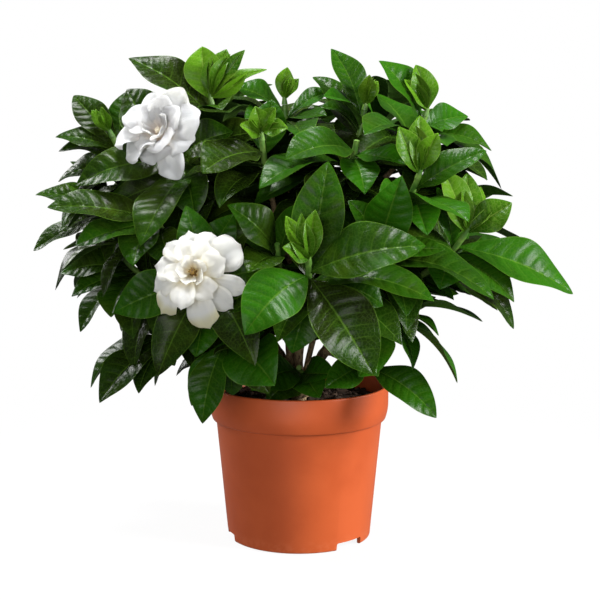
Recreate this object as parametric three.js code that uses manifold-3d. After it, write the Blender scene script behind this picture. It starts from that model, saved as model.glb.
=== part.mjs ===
// A gardenia in a terracotta-coloured plastic nursery pot.
// Millimetres, +Z up, -Y towards the viewer. The origin is the centre of the pot's foot, on the table.
// The shrub is one woody stem that forks at the soil. Each branch ends in a green leafy shoot,
// some shoots end in a tuft of young leaves, and two end in a white double flower.
import * as THREE from "three";
import { mergeVertices } from "three/addons/utils/BufferGeometryUtils.js";
import Module from "manifold-3d";

const wasm = await Module();
wasm.setup();

const V = (x, y, z) => new THREE.Vector3(x, y, z);
const UP = V(0, 0, 1);
const GAP = 0.3; // between neighbouring solids

// Pot
const POT_HEIGHT = 112;
const RIM_RADIUS = 65;
const RIM_WALL = 2.4;
const BAND_HEIGHT = 25; // the plain band under the rim
const BAND_FOOT = POT_HEIGHT - BAND_HEIGHT;
const BAND_FOOT_RADIUS = 62.8;
const BAND_FLARE = 7; // how far up the band reaches the rim's radius
const BODY_TOP_RADIUS = 60.3;
const FOOT_RADIUS = 52;
const WALL = 1.8;
const EDGE = 1.2; // how far edges are rounded off
const SHOULDER = BAND_FOOT - 1; // where the inside widens towards the rim
const SHOULDER_RADIUS = BODY_TOP_RADIUS - WALL;
const FLOOR_UNDERSIDE = 9; // the floor is raised on a ring foot
const FLOOR_TOP = 11.5;
const FLOOR_RADIUS = 50.8; // of the inside
const FOOT_RING_WIDTH = 3;
const POT_SIDES = 36;
const NOTCH_CENTRES = [-46, 74, 194]; // degrees round +Z from +X, the first one front right
const NOTCH_WIDTH = 26; // degrees
const NOTCH_HEIGHT = 5.4;
const NOTCH_DEPTH = 8;
const DRAIN_HOLE_RADIUS = 4;
const DRAIN_HOLE_INSET = 14; // from the foot's radius to the hole's middle
const DRAIN_HOLE_LENGTH = 12;

// Soil
const SOIL_LEVEL = 100;
const SOIL_CLEARANCE = 0.5; // to the pot's wall
const SOIL_SIDES = 24;
const SOIL_RINGS = 5;
const STEM_HOLE_RADIUS = 7.4;
const STEM_HOLE_DEPTH = 26;
const STEM_HOLE_MARGIN = 2; // level soil round the hole

// Wood: a crown in the soil, limbs that rise from it and twigs that fork from the limbs.
// Each pair of radii is that of a stem's start and its end.
const CROWN_RADII = [7, 5.6];
const CROWN_LENGTH = 31;
const CROWN_SIDES = 10;
const LIMB_START = SOIL_LEVEL + 3; // inside the crown
const LIMB_EASE = 0.35; // how long a limb rises straight at each end, as a share of its height
const LIMB_RADII = [3.2, 2.72];
const TWIG_RADII = [2.24, 1.9];
const LIMB_SIDES = 5;
const TWIG_SIDES = 4;
const FORK_SINK = 1.2; // how deep a twig starts behind its limb's middle
const FORK_STEP = 0.11; // how much lower on its limb each further twig starts, as a share of the limb
const BRANCH_OUT = 0.18; // how a branch leaves its fork, outwards and upwards, as shares of its span
const BRANCH_RISE = 0.2;
const BRANCH_EASE = 0.4; // how soon it turns into its shoot's direction

// Shoots
const CROWN_CENTRE = V(0, 10, 130); // what the shoots grow away from
const SHOOT_UPRIGHT = 0.55; // how far a shoot bends upwards from that direction
const SHOOT_LENGTH = 46; // the green part of a stem
const EARLIEST_GREEN = 0.15; // the share of a short branch that stays woody
const SHOOT_RADII = [2.2, 1.87];
const TUFT_STEM_RADII = [2.2, 1.3];
const TUFT_STEM_LENGTH = 3; // up to the first young leaf
const TUFT_STEP = 1.2; // from one young leaf to the next
const TUFT_ARCH = 0.06;
const TUFT_FORWARD = 0.9; // how far the young leaves turn to the viewer

// Leaves. A blade's arch, fold and wave are shares of its length, half width and width.
const LEAF_THICKNESS = 1.3; // at the midrib, thinning to the margin
const LEAF_STATIONS = [0.22, 0.44, 0.65, 0.84];
const SMALL_LEAF_STATIONS = [0.26, 0.55, 0.82];
const LEAF_FOLD = 0.24; // how far the margins rise above the midrib
const LEAF_ARCH = 0.07; // the least, to which up to LEAF_ARCH_MORE is added
const LEAF_ARCH_MORE = 0.09;
const WAVE_HEIGHT = 0.07;
const WAVES = 9; // radians of wave from root to tip
const WAVE_SPREAD = 6.3; // the range of phases that leaves differ in
const WAVE_OFFSET = 2; // the phase between a blade's two margins
const ROOT_PART = 0.05; // the share of a blade that keeps at least ROOT_HALF_WIDTH
const ROOT_HALF_WIDTH = 0.9;
const ROOT_OUT = 1.1; // how far a leaf's root is from the middle of its stem
// Degrees that a leaf may be lifted or turned to be clear
const NUDGES = [0, 5, -5, 10, -10, 15, -15, 20, -20];

// Leaves chosen one by one
const FIRST_CHOSEN = 8; // how far the first one's root is below the shoot's end
const CHOSEN_STEP = 3.2; // from one root to the next
const SLIMMEST = 0.44; // the least width of a grown leaf, as a share of its length
const FACE_UP = 0.45; // how far upper faces turn up from their shoot's direction
const CHOSEN_LESS_UP = 0.2; // and how much less these do
const FACE_FORWARD = 0.55; // how far these turn to the viewer

// Whorls of leaves down the rest of the stem. A tier is one whorl.
const WHORL_SIZE = 3;
const WHORL_TURN = 60; // degrees between a tier and the next
const FIRST_WHORL = 7; // how far the first tier is below the shoot's end
const WHORL_STEP = 11; // from tier to tier
const WHORL_STAGGER = 2; // between the roots in a tier
const TIERS_CHOSEN = 1.4; // what the chosen leaves take up
const WHORL_LEAF = { length: 66, longer: 6, longest: 2, spread: 7, width: 0.47, widthSpread: 0.05 };
const WHORL_LEAN = { first: 58, step: 13, most: 105 }; // degrees from the shoot's direction
const WHORL_DROOP = 0.14; // a share of the leaf's length
const WHORL_SCATTER = 12; // degrees
const GOLDEN_ANGLE = 137.5;

// Clear air round each leaf, in which no other one reaches
const LEAF_GAP = 5.2; // between different shoots
const OWN_GAP = 3.4; // between a leaf and its own shoot's tuft or flower
const SAME_GAP = 3; // between the outer parts of a shoot's own leaves
const RIM_INSIDE = 9; // how far inside the rim a leaf may hang down to the soil
const RIM_OUTSIDE = 4;
const RIM_ABOVE = 3;
const SOIL_ABOVE = 5;
const SAMPLE_STATIONS = [1, 0.9, 0.8, 0.7, 0.6, 0.5, 0.4, 0.3, 0.2, 0.1];
const SAMPLE_ACROSS = [-0.95, -0.6, -0.3, 0, 0.3, 0.6, 0.95];
const OUTER_SAMPLES = 7 * SAMPLE_ACROSS.length; // of a blade's outer part
const OWN_SAMPLES = 8 * SAMPLE_ACROSS.length; // those that are clear of the stem it grows from
const STEM_SAMPLE_STEP = 0.03;

// Where the shoots end, and how far and which way the leaves that matter reach from there:
// [x, y, z, width, roll]. The roll turns a leaf about its own length, in degrees. Young leaves
// make the tuft at the tip. Lower down each shoot gets whorls of as many more leaves as "more"
// says, where they have room.
const SHOOTS = [
  { name: "centre_front", at: [6, -138, 213], more: 2,
    leaves: [
      [70, -8, 12, 40], [-38, -22, -40, 37], [39, -14, -66, 42],
      [12, 14, 62, 30], [46, 16, -28, 30], [-10, 8, -56, 28],
    ],
    young: [[4, -8, 34, 14], [-16, -18, 12, 13], [-14, -2, 30, 11]] },
  { name: "upper_centre", at: [38, -72, 288], more: 3,
    leaves: [[-46, -28, -12, 37], [30, -22, -15, 25], [4, -34, -30, 26]],
    young: [] },
  { name: "right_centre", at: [76, -98, 264], more: 3,
    leaves: [[42, -6, 18, 24], [4, -22, -34, 24], [-26, -16, -20, 24]],
    young: [[-13, -6, 33, 18], [1, 1, 40, 19], [12, -7, 29, 15]] },
  { name: "middle_right", at: [54, -108, 226], more: 2,
    leaves: [[12, -8, 45, 30], [-22, 2, 24, 22], [38, -2, -6, 20]],
    young: [] },
  { name: "right", at: [107, -85, 225], more: 2,
    leaves: [
      [76, 18, -39, 34], [-16, 6, 32, 18], [-16, -14, -32, 26],
      [34, -8, -38, 24], [36, 14, -62, 22],
    ],
    young: [[-14, -4, 44, 24], [3, 6, 42, 20], [31, -5, 23, 22], [12, 6, 33, 14]] },
  { name: "top_right", at: [85, -48, 304], more: 1,
    leaves: [[-31, -8, 36, 30], [29, 8, 0, 26], [44, -6, -20, 24], [8, -30, -10, 20]],
    young: [[-7, -2, 34, 21], [-15, -8, 24, 12]] },
  { name: "top_centre_right", at: [45, -30, 308], more: 3,
    leaves: [[-22, 9, 42, 24], [-20, -24, 16, 26], [-30, -12, 2, 20], [-31, 6, 30, 22]],
    young: [[3, -7, 24, 12], [9, 0, 20, 9]] },
  { name: "top_middle", at: [-10, -14, 312], more: 4,
    leaves: [[-34, -8, 12, 26], [34, 2, 14, 18], [-26, -26, -10, 26], [26, -26, -8, 26], [40, 16, -6, 26]],
    young: [[2, 0, 26, 13], [10, -2, 18, 10]] },
  { name: "upper_left_centre", at: [-24, -84, 288], more: 3,
    leaves: [[-36, -26, -20, 39], [6, 8, 26, 26]],
    young: [[-14, -10, 10, 13], [-4, -8, 22, 14], [9, -8, 21, 13], [17, -10, 8, 13]] },
  { name: "top_left", at: [-60, -24, 312], more: 3,
    leaves: [[8, -32, -4, 26], [-57, 6, 32, 34]],
    young: [[-7, 7, 40, 27], [10, 5, 38, 20], [23, -3, 37, 13], [38, 2, 24, 11]] },
  { name: "under_flower_1", at: [-84, -72, 283], more: 3, towards: [-0.35, -0.72, 0.6],
    leaves: [[-36, 10, 42, 32], [40, 0, 10, 30], [16, -14, -44, 28], [-62, -2, -24, 32]],
    young: [] },
  { name: "left_upper", at: [-126, -46, 290], more: 2,
    leaves: [[-27, 10, 32, 18], [-34, -10, 6, 22], [-8, -22, -22, 26], [4, 10, 32, 18],
      [-36, 0, -12, 22], [-37, 2, -30, 24]],
    young: [[-14, 0, 18, 9], [-6, -8, 20, 9]] },
  { name: "left_middle", at: [-98, -86, 244], more: 3,
    leaves: [[-62, -8, 10, 31], [-44, -20, -22, 28], [-8, -30, -28, 28], [18, -24, -30, 24]],
    young: [] },
  { name: "left_far", at: [-144, -18, 246], more: 2,
    leaves: [[-40, 0, 4, 18], [-24, 4, 20, 20, 40], [-44, 8, -36, 22], [-20, -22, -20, 24]],
    young: [[-18, -6, 12, 9]] },
  { name: "left_low", at: [-118, -56, 208], more: 2,
    leaves: [[-42, -4, -9, 26], [-29, -8, -48, 27, 10], [-8, -28, -36, 30], [-30, -24, -22, 22]],
    young: [] },
  { name: "lower_left", at: [-96, -66, 160], more: 0,
    leaves: [[-46, 10, -40, 22, 25], [-36, -24, -46, 23], [-10, -18, -38, 24], [12, -26, -20, 24]],
    young: [] },
  { name: "low_front_left", at: [-50, -100, 164], more: 0,
    leaves: [
      [-12, -8, -57, 25], [-22, 6, -48, 20], [34, -20, -30, 40],
      [14, -28, -4, 34], [30, 4, -40, 22], [6, 20, -44, 22],
    ],
    young: [] },
  { name: "under_flower_2", at: [-64, -110, 202], more: 2, towards: [-0.12, -0.95, 0.28],
    leaves: [
      [40, 2, 5, 34], [-54, 4, -23, 30], [-8, 6, 44, 26, 20],
      [22, 2, 36, 24], [2, 0, -51, 30],
    ],
    young: [] },
  { name: "centre_left", at: [-14, -98, 222], more: 2,
    leaves: [[-30, -16, 26, 27], [-22, -20, -26, 26], [22, -12, 26, 24]],
    young: [] },
  { name: "lower_right", at: [66, -70, 180], more: 0,
    leaves: [
      [56, -2, -12, 18, -48], [26, -10, -20, 15, -45], [40, 0, -54, 18, -40],
      [10, 4, -46, 16, -20], [-8, -30, -8, 30],
    ],
    young: [] },
  { name: "low_front_right", at: [52, -56, 136], more: 0,
    leaves: [[40, -28, -21, 27], [-12, -34, -2, 24], [-34, -22, -12, 22]],
    young: [] },
  { name: "low_centre", at: [0, -26, 128], more: 1,
    leaves: [[-32, -34, -9, 28], [14, -24, -16, 26], [32, -32, -8, 24], [-10, -26, -14, 26]],
    young: [] },
  { name: "far_right", at: [128, -10, 206], more: 0,
    leaves: [[34, -6, -18, 22], [12, -18, -36, 22]],
    young: [] },
  { name: "inner_left", at: [-42, -18, 252], more: 5, leaves: [], young: [] },
  { name: "inner_right", at: [30, -28, 246], more: 5, leaves: [], young: [] },
  { name: "inner_low", at: [-8, 6, 176], more: 5, leaves: [], young: [] },
  { name: "back_top_left", at: [-66, 52, 300], more: 8, leaves: [],
    young: [[-4, 8, 26, 12], [4, 0, 24, 11]] },
  { name: "back_top_right", at: [62, 48, 302], more: 8, leaves: [],
    young: [[6, 8, 28, 13], [-4, 2, 24, 11]] },
  { name: "back_upper", at: [-4, 84, 274], more: 8, leaves: [], young: [[2, 10, 26, 13]] },
  { name: "back_right", at: [112, 56, 238], more: 8, leaves: [], young: [[10, 8, 22, 12]] },
  { name: "back_left", at: [-112, 60, 240], more: 8, leaves: [], young: [] },
  { name: "back_low_right", at: [90, 78, 184], more: 8, leaves: [], young: [] },
  { name: "back_low_left", at: [-86, 82, 162], more: 8, leaves: [], young: [] },
  { name: "back_middle", at: [6, 102, 198], more: 8, leaves: [], young: [] },
];

// Limbs that fork from the crown: [foot x, y] at the soil and the fork's place.
const LIMBS = [
  { foot: [-5, -3], fork: [-38, -24, 176] },
  { foot: [4, -5], fork: [34, -30, 172] },
  { foot: [5, 3], fork: [42, 34, 176] },
  { foot: [-3, 5], fork: [-36, 40, 174] },
  { foot: [0, -1], fork: [0, -6, 206] },
  { foot: [1, -5], fork: [3, -12, 117] },
];

// Flowers, each with three rings of petals from the outside in. A petal is [clock, lean, length,
// width]: degrees round the flower's axis, degrees out from that axis, and millimetres.
const FLOWERS = [
  { name: "flower_1", shoot: "under_flower_1", seed: 11,
    rings: [
      [[8, 80, 32, 25], [338, 62, 30, 22], [36, 84, 26, 28], [66, 86, 17, 26], [92, 80, 19, 26],
       [125, 93, 33, 20], [160, 72, 28, 22], [192, 62, 33, 26], [235, 50, 34, 22], [285, 42, 29, 20]],
      [[0, 52, 22, 18], [60, 60, 18, 20], [128, 56, 20, 20], [205, 44, 25, 18], [252, 34, 27, 17],
       [306, 32, 24, 16]],
      [[20, 28, 14, 11], [325, 25, 18, 11], [270, 25, 19, 11], [210, 26, 17, 11], [120, 32, 13, 12]],
    ] },
  { name: "flower_2", shoot: "under_flower_2", seed: 29,
    rings: [
      [[280, 82, 26, 17], [249, 80, 26, 17], [213, 84, 32, 25], [165, 88, 34, 14], [139, 88, 31, 16],
       [107, 86, 34, 21], [52, 86, 31, 18], [24, 84, 26, 18], [350, 80, 24, 22], [314, 82, 25, 16]],
      [[78, 62, 26, 18], [10, 58, 19, 14], [200, 60, 23, 19], [290, 58, 21, 17], [244, 60, 22, 17],
       [130, 62, 22, 17]],
      [[0, 36, 13, 11], [75, 34, 13, 11], [145, 36, 13, 11], [218, 34, 13, 11], [290, 36, 13, 11]],
    ] },
];
// How much each ring's petals curl back, and how high they start.
const PETAL_RINGS = [
  { curl: 0.16, rise: 1 },
  { curl: 0.12, rise: 2.8 },
  { curl: 0.02, rise: 4.6 },
];
const PETAL_THICKNESS = 1.4;
const PETAL_FOLD = 0.1;
const PETAL_STATIONS = [0.36, 0.78];
const PETAL_TWIST = 15; // degrees that each petal is turned, so that one edge lies under its neighbour
const PETAL_ROOT_OUT = 2.3;
const CALYX_RADIUS = 3.4;
const CALYX_LENGTH = 9;
const CALYX_SINK = 2; // how far the calyx starts below the shoot's end
const HEART_LENGTH = 6; // the white base that carries the petals
const HEART_RADII = [3.4, 2.8];
const CLUB_LENGTH = 5.5; // the golden club in the middle
const CLUB_RADII = [1.2, 1.7];
const ANTHERS = 5;
const ANTHER = { root: 1.2, out: 2.2, rise: 4, width: 1.6, arch: 0.1, thickness: 1, station: 0.6 };

// How far the facets of a seam between fused solids may be smoothed: the first value that serves.
const SEAM_TOLERANCES = [0.05, 0.07, 0.035, 0.09, 0.02, 0.005];
const WOOD_TOLERANCES = [0.2, 0.17, 0.14, 0.1, 0.05];

function finish(color, roughness) {
  return new THREE.MeshStandardMaterial({ color, roughness, metalness: 0 });
}
const potFinish = finish(0xc05a30, 0.5);
const soilFinish = finish(0x1d130d, 0.95);
const woodFinish = finish(0x6f5a3a, 0.8);
const leafFinish = finish(0x1f4a15, 0.3);
const youngFinish = finish(0x6fa62a, 0.35);
const petalFinish = finish(0xf4f1e8, 0.55);
const eyeFinish = finish(0xb98a26, 0.7);

const radians = THREE.MathUtils.degToRad;
const moved = (point, direction, distance) => point.clone().addScaledVector(direction, distance);

// A number from 0 to 1 that is always the same for the same seed.
function draw(seed) {
  const n = Math.sin(seed * 12.9898 + 4.1414) * 43758.5453;
  return n - Math.floor(n);
}
const spread = (seed, amount) => (draw(seed) * 2 - 1) * amount;

// A three.js geometry as a manifold-3d solid, and back.
function solid(geometry) {
  const bare = new THREE.BufferGeometry();
  bare.setAttribute("position", geometry.getAttribute("position").clone());
  if (geometry.index) bare.setIndex(geometry.index.clone());
  const merged = mergeVertices(bare.index ? bare.toNonIndexed() : bare, 1e-4);
  const mesh = new wasm.Mesh({
    numProp: 3,
    vertProperties: merged.attributes.position.array,
    triVerts: new Uint32Array(merged.index.array),
  });
  return new wasm.Manifold(mesh);
}

function geometryOf(manifold) {
  const mesh = manifold.getMesh();
  return new THREE.BufferGeometry()
    .setAttribute("position", new THREE.BufferAttribute(mesh.vertProperties, 3))
    .setIndex(new THREE.BufferAttribute(mesh.triVerts, 1));
}

// Whether a body pinches itself: two of its vertices lie in the same place.
function isPinched(body) {
  const { vertProperties } = body.getMesh();
  const places = new Set();
  for (let i = 0; i < vertProperties.length; i += 3) {
    places.add([0, 1, 2].map((k) => vertProperties[i + k].toFixed(3)).join());
  }
  return places.size < vertProperties.length / 3;
}

// Solids joined into one body, with the seams' tiny facets smoothed away as far as that leaves no
// pinch. A hollow that the joining seals is filled, and a loose scrap is dropped.
function fused(solids, tolerances = SEAM_TOLERANCES) {
  const joined = wasm.Manifold.union(solids).asOriginal();
  const bodies = tolerances.map((tolerance) => {
    const parts = joined.simplify(tolerance).decompose();
    return parts.sort((a, b) => b.volume() - a.volume())[0];
  });
  return bodies.find((body) => !isPinched(body)) ?? bodies[0];
}

const plant = new THREE.Group();
function addNode(name, manifold, finishOfNode) {
  const geometry = geometryOf(manifold);
  geometry.computeVertexNormals();
  const mesh = new THREE.Mesh(geometry, finishOfNode);
  mesh.name = name;
  plant.add(mesh);
}

function lathe(profile, sides) {
  const points = profile.map(([r, z]) => new THREE.Vector2(r, z));
  return new THREE.LatheGeometry(points, sides).rotateX(Math.PI / 2);
}

// Pot: one turned profile, then notches in the foot ring and drain holes in the floor.
function makePot() {
  const outer = [
    [FOOT_RADIUS - EDGE, 0],
    [FOOT_RADIUS, EDGE],
    [BODY_TOP_RADIUS, BAND_FOOT],
    [BAND_FOOT_RADIUS - EDGE / 2, BAND_FOOT],
    [BAND_FOOT_RADIUS, BAND_FOOT + EDGE],
    [RIM_RADIUS, BAND_FOOT + BAND_FLARE],
    [RIM_RADIUS, POT_HEIGHT - EDGE],
    [RIM_RADIUS - EDGE, POT_HEIGHT],
  ];
  const inner = [
    [RIM_RADIUS - RIM_WALL, POT_HEIGHT],
    [SHOULDER_RADIUS, SHOULDER],
    [FLOOR_RADIUS, FLOOR_TOP],
    [0, FLOOR_TOP],
    [0, FLOOR_UNDERSIDE],
    [FOOT_RADIUS - FOOT_RING_WIDTH, FLOOR_UNDERSIDE],
    [FOOT_RADIUS - FOOT_RING_WIDTH, 0],
  ];
  const notchWidth = 2 * FOOT_RADIUS * Math.tan(radians(NOTCH_WIDTH / 2));
  let pot = solid(lathe([...outer, ...inner, outer[0]], POT_SIDES));
  for (const centre of NOTCH_CENTRES) {
    const notch = new THREE.BoxGeometry(2 * NOTCH_DEPTH, notchWidth, 2 * NOTCH_HEIGHT);
    notch.translate(FOOT_RADIUS, 0, 0).rotateZ(radians(centre));
    const hole = new THREE.CylinderGeometry(DRAIN_HOLE_RADIUS, DRAIN_HOLE_RADIUS, DRAIN_HOLE_LENGTH, 10);
    hole.rotateX(Math.PI / 2).translate(FOOT_RADIUS - DRAIN_HOLE_INSET, 0, FLOOR_TOP);
    hole.rotateZ(radians(centre));
    pot = pot.subtract(solid(notch)).subtract(solid(hole));
  }
  return pot;
}

// Soil: fills the pot, with a lumpy top and a plain hole for the stem.
function makeSoil() {
  const edge = SHOULDER_RADIUS - SOIL_CLEARANCE;
  const level = STEM_HOLE_RADIUS + STEM_HOLE_MARGIN;
  const bottom = SOIL_LEVEL - STEM_HOLE_DEPTH;
  const profile = [
    [0, FLOOR_TOP + GAP],
    [FLOOR_RADIUS - SOIL_CLEARANCE - GAP, FLOOR_TOP + GAP],
    [edge, SHOULDER],
    [edge, SOIL_LEVEL],
  ];
  for (let ring = 1; ring < SOIL_RINGS; ring += 1) {
    profile.push([edge + (level - edge) * (ring / SOIL_RINGS), SOIL_LEVEL]);
  }
  profile.push([STEM_HOLE_RADIUS, SOIL_LEVEL], [STEM_HOLE_RADIUS, bottom], [0, bottom]);
  const geometry = lathe(profile, SOIL_SIDES);
  const p = geometry.attributes.position;
  for (let i = 0; i < p.count; i += 1) {
    const [x, y, z] = [p.getX(i), p.getY(i), p.getZ(i)];
    const r = Math.hypot(x, y);
    if (z > SOIL_LEVEL - 0.01 && r > STEM_HOLE_RADIUS + 1 && r < edge - 1) {
      p.setZ(i, z + 1.3 * Math.sin(x * 0.31 + y * 0.17) + 1.1 * Math.cos(y * 0.37 - x * 0.11));
    }
  }
  return solid(geometry);
}

// A tapering stem of few sides along a curve, closed at both ends. An ExtrudeGeometry can't taper,
// so the rings are made here.
function stem(curve, from, to, [startRadius, endRadius], steps, sides) {
  const points = [];
  const index = [];
  let side = Math.abs(curve.getTangent(from).z) < 0.9 ? UP.clone() : V(1, 0, 0);
  for (let i = 0; i <= steps; i += 1) {
    const t = from + ((to - from) * i) / steps;
    const centre = curve.getPoint(t);
    const along = curve.getTangent(t);
    side = moved(side, along, -side.dot(along)).normalize();
    const other = along.clone().cross(side);
    const radius = startRadius + (endRadius - startRadius) * (i / steps);
    for (let k = 0; k < sides; k += 1) {
      const a = (2 * Math.PI * k) / sides;
      points.push(moved(moved(centre, side, radius * Math.cos(a)), other, radius * Math.sin(a)));
    }
  }
  for (let i = 0; i < steps; i += 1) {
    for (let k = 0; k < sides; k += 1) {
      const [a, b] = [i * sides + k, i * sides + ((k + 1) % sides)];
      index.push(a, b, b + sides, a, b + sides, a + sides);
    }
  }
  const last = steps * sides;
  for (let k = 1; k < sides - 1; k += 1) {
    index.push(0, k + 1, k, last, last + k, last + k + 1);
  }
  return solid(new THREE.BufferGeometry().setFromPoints(points).setIndex(index));
}

// A straight stem from a point, along a direction.
function straightStem(foot, direction, length, radii, steps, sides) {
  return stem(new THREE.LineCurve3(foot, moved(foot, direction, length)), 0, 1, radii, steps, sides);
}

// A blade is a leaf or a petal: its root, its reach (root to tip), the way its upper face looks,
// its width and how far it arches.
function blade(root, reach, facing, width, arch, seed) {
  const length = reach.length();
  const along = reach.clone().divideScalar(length);
  const normal = moved(facing, along, -facing.dot(along)).normalize();
  const side = along.clone().cross(normal);
  return { root, reach, along, normal, side, width, length, arch, seed };
}

// Half the width along a blade, as a share of the most, from t = 0 at the root to 1 at the tip.
function leafOutline(t) {
  return Math.pow(Math.max(0, Math.sin(Math.PI * Math.pow(t, 1.12))), 1.1);
}
function petalOutline(t) {
  return Math.pow(Math.sin((Math.PI / 2) * Math.min(1, 1.3 * t)), 1.4) * (1 - 0.55 * Math.pow(t, 7));
}

// A point on a blade: t from root to tip, across from -1 to 1 over its width.
function onBlade(b, t, across, outline, fold) {
  const half = Math.max((b.width / 2) * outline(t), t < ROOT_PART ? ROOT_HALF_WIDTH : 0);
  const edge = Math.abs(across);
  const arch = b.arch * b.length * 4 * t * (1 - t);
  const phase = WAVES * t + WAVE_SPREAD * draw(b.seed) + (across > 0 ? 0 : WAVE_OFFSET);
  const wave = WAVE_HEIGHT * b.width * Math.sin(phase) * outline(t) * edge;
  return b.root.clone()
    .addScaledVector(b.reach, t)
    .addScaledVector(b.normal, arch + fold * half * edge + wave)
    .addScaledVector(b.side, half * across);
}

// A blade as a closed solid: a root ring, a few diamond rings, and a tip or a blunt last ring.
function bladeSolid(b, stations, outline, fold, thickness, blunt = false) {
  const points = [];
  const index = [];
  const halfThick = b.normal.clone().multiplyScalar(thickness / 2);
  const ringStations = [0, ...stations, ...(blunt ? [1] : [])];
  for (const t of ringStations) {
    const [left, mid, right] = [-1, 0, 1].map((across) => onBlade(b, t, across, outline, fold));
    points.push(left, mid.clone().add(halfThick), right, mid.clone().sub(halfThick));
  }
  for (let i = 0; i < ringStations.length - 1; i += 1) {
    const [left, top, right, bottom] = [4 * i, 4 * i + 1, 4 * i + 2, 4 * i + 3];
    index.push(left, top + 4, left + 4, left, top, top + 4);
    index.push(top, right, top + 4, right, right + 4, top + 4);
    index.push(left, left + 4, bottom + 4, left, bottom + 4, bottom);
    index.push(right, bottom, bottom + 4, right, bottom + 4, right + 4);
  }
  index.push(0, 3, 2, 0, 2, 1);
  const [left, top, right, bottom] = [4, 3, 2, 1].map((k) => 4 * ringStations.length - k);
  if (blunt) {
    index.push(left, top, right, left, right, bottom);
  } else {
    const tip = points.push(b.root.clone().add(b.reach)) - 1;
    index.push(left, top, tip, top, right, tip, right, bottom, tip, bottom, left, tip);
  }
  return solid(new THREE.BufferGeometry().setFromPoints(points).setIndex(index));
}

// What is in place so far, as sample points, so that later leaves keep clear of it.
// A blade's samples run from its tip back to near its root.
const placed = [];

function samplesOf(b, outline, fold) {
  return SAMPLE_STATIONS.flatMap((t) => SAMPLE_ACROSS.map((across) => onBlade(b, t, across, outline, fold)));
}

function samplesAlong(curve, from) {
  const points = [];
  for (let t = from; t <= 1; t += STEM_SAMPLE_STEP) points.push(curve.getPoint(t));
  return points;
}

function place(node, shoot, points) {
  placed.push({ node, shoot, points, box: new THREE.Box3().setFromPoints(points) });
}

function apart(some, others, gap) {
  return some.every((p) => others.every((q) => p.distanceToSquared(q) > gap * gap));
}

function hitsPot(p) {
  const r = Math.hypot(p.x, p.y);
  const overSoil = r < RIM_RADIUS - RIM_INSIDE && p.z > SOIL_LEVEL + SOIL_ABOVE;
  return !overSoil && r < RIM_RADIUS + RIM_OUTSIDE && p.z < POT_HEIGHT + RIM_ABOVE;
}

function isClear(shoot, points) {
  if (points.some(hitsPot)) return false;
  const box = new THREE.Box3().setFromPoints(points);
  return placed.every((other) => {
    if (!other.box.clone().expandByScalar(LEAF_GAP).intersectsBox(box)) return true;
    if (other.shoot !== shoot) return apart(points, other.points, LEAF_GAP);
    if (other.node !== shoot) return apart(points.slice(0, OWN_SAMPLES), other.points, OWN_GAP);
    return apart(points.slice(0, OUTER_SAMPLES), other.points.slice(0, OUTER_SAMPLES), SAME_GAP);
  });
}

// The path of a branch: from its limb's fork, up and out, and into its shoot's own direction.
class Branch extends THREE.CubicBezierCurve3 {
  constructor(fork, end, direction) {
    const span = fork.distanceTo(end);
    const out = end.clone().sub(fork).normalize();
    super(
      moved(fork, out, -FORK_SINK),
      moved(moved(fork, out, BRANCH_OUT * span), UP, BRANCH_RISE * span),
      moved(end, direction, -BRANCH_EASE * span),
      end,
    );
    this.span = span;
  }

  // The curve's parameter at a distance back from its end.
  back(distance) {
    return Math.max(0, 1 - distance / (3 * BRANCH_EASE * this.span));
  }

  // Where the green shoot starts, and where the woody twig ends just before it.
  get greenStart() {
    return Math.max(this.back(SHOOT_LENGTH), EARLIEST_GREEN);
  }

  get twigEnd() {
    const start = this.greenStart;
    const step = 0.01;
    return start - (GAP * step) / this.getPoint(start).distanceTo(this.getPoint(start - step));
  }
}

// The limbs, each with its path from the crown and the number of twigs that it carries so far.
const limbs = LIMBS.map(({ foot: [x, y], fork }) => {
  const start = V(x, y, LIMB_START);
  const end = V(...fork);
  const ease = LIMB_EASE * (end.z - start.z);
  const path = new THREE.CubicBezierCurve3(start, moved(start, UP, ease), moved(end, UP, -ease), end);
  return { path, twigs: 0 };
});

// A shoot as built: its end, its direction, its branch and the leaves on it.
function startShoot(spec) {
  const end = V(...spec.at);
  const outward = end.clone().sub(CROWN_CENTRE).normalize();
  const direction = (spec.towards ? V(...spec.towards) : moved(outward, UP, SHOOT_UPRIGHT)).normalize();
  const [limb] = limbs.toSorted((a, b) => a.path.v3.distanceTo(end) - b.path.v3.distanceTo(end));
  const branch = new Branch(limb.path.getPoint(1 - FORK_STEP * limb.twigs), end, direction);
  limb.twigs += 1;
  place("wood", spec.name, samplesAlong(branch, EARLIEST_GREEN));
  return { ...spec, end, direction, branch, facing: moved(direction, UP, FACE_UP), blades: [], tuft: [] };
}

// Puts a leaf on a shoot, lifted and turned about its root as little as it takes to be clear.
function placeLeaf(shoot, root, reach, facing, width, arch, seed, stations) {
  const side = reach.clone().cross(facing).normalize();
  const tries = NUDGES.flatMap((lift) => NUDGES.map((turn) => [lift, turn]));
  tries.sort((a, b) => Math.hypot(...a) - Math.hypot(...b));
  for (const [lift, turn] of tries) {
    const nudged = reach.clone().applyAxisAngle(side, radians(lift));
    nudged.applyAxisAngle(shoot.direction, radians(turn));
    const outward = moved(nudged, shoot.direction, -shoot.direction.dot(nudged)).normalize();
    const leaf = blade(moved(root, outward, ROOT_OUT), nudged, facing, width, arch, seed);
    const points = samplesOf(leaf, leafOutline, LEAF_FOLD);
    if (isClear(shoot.name, points)) {
      shoot.blades.push({ ...leaf, stations });
      place(shoot.name, shoot.name, points);
      return;
    }
  }
}

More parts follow.
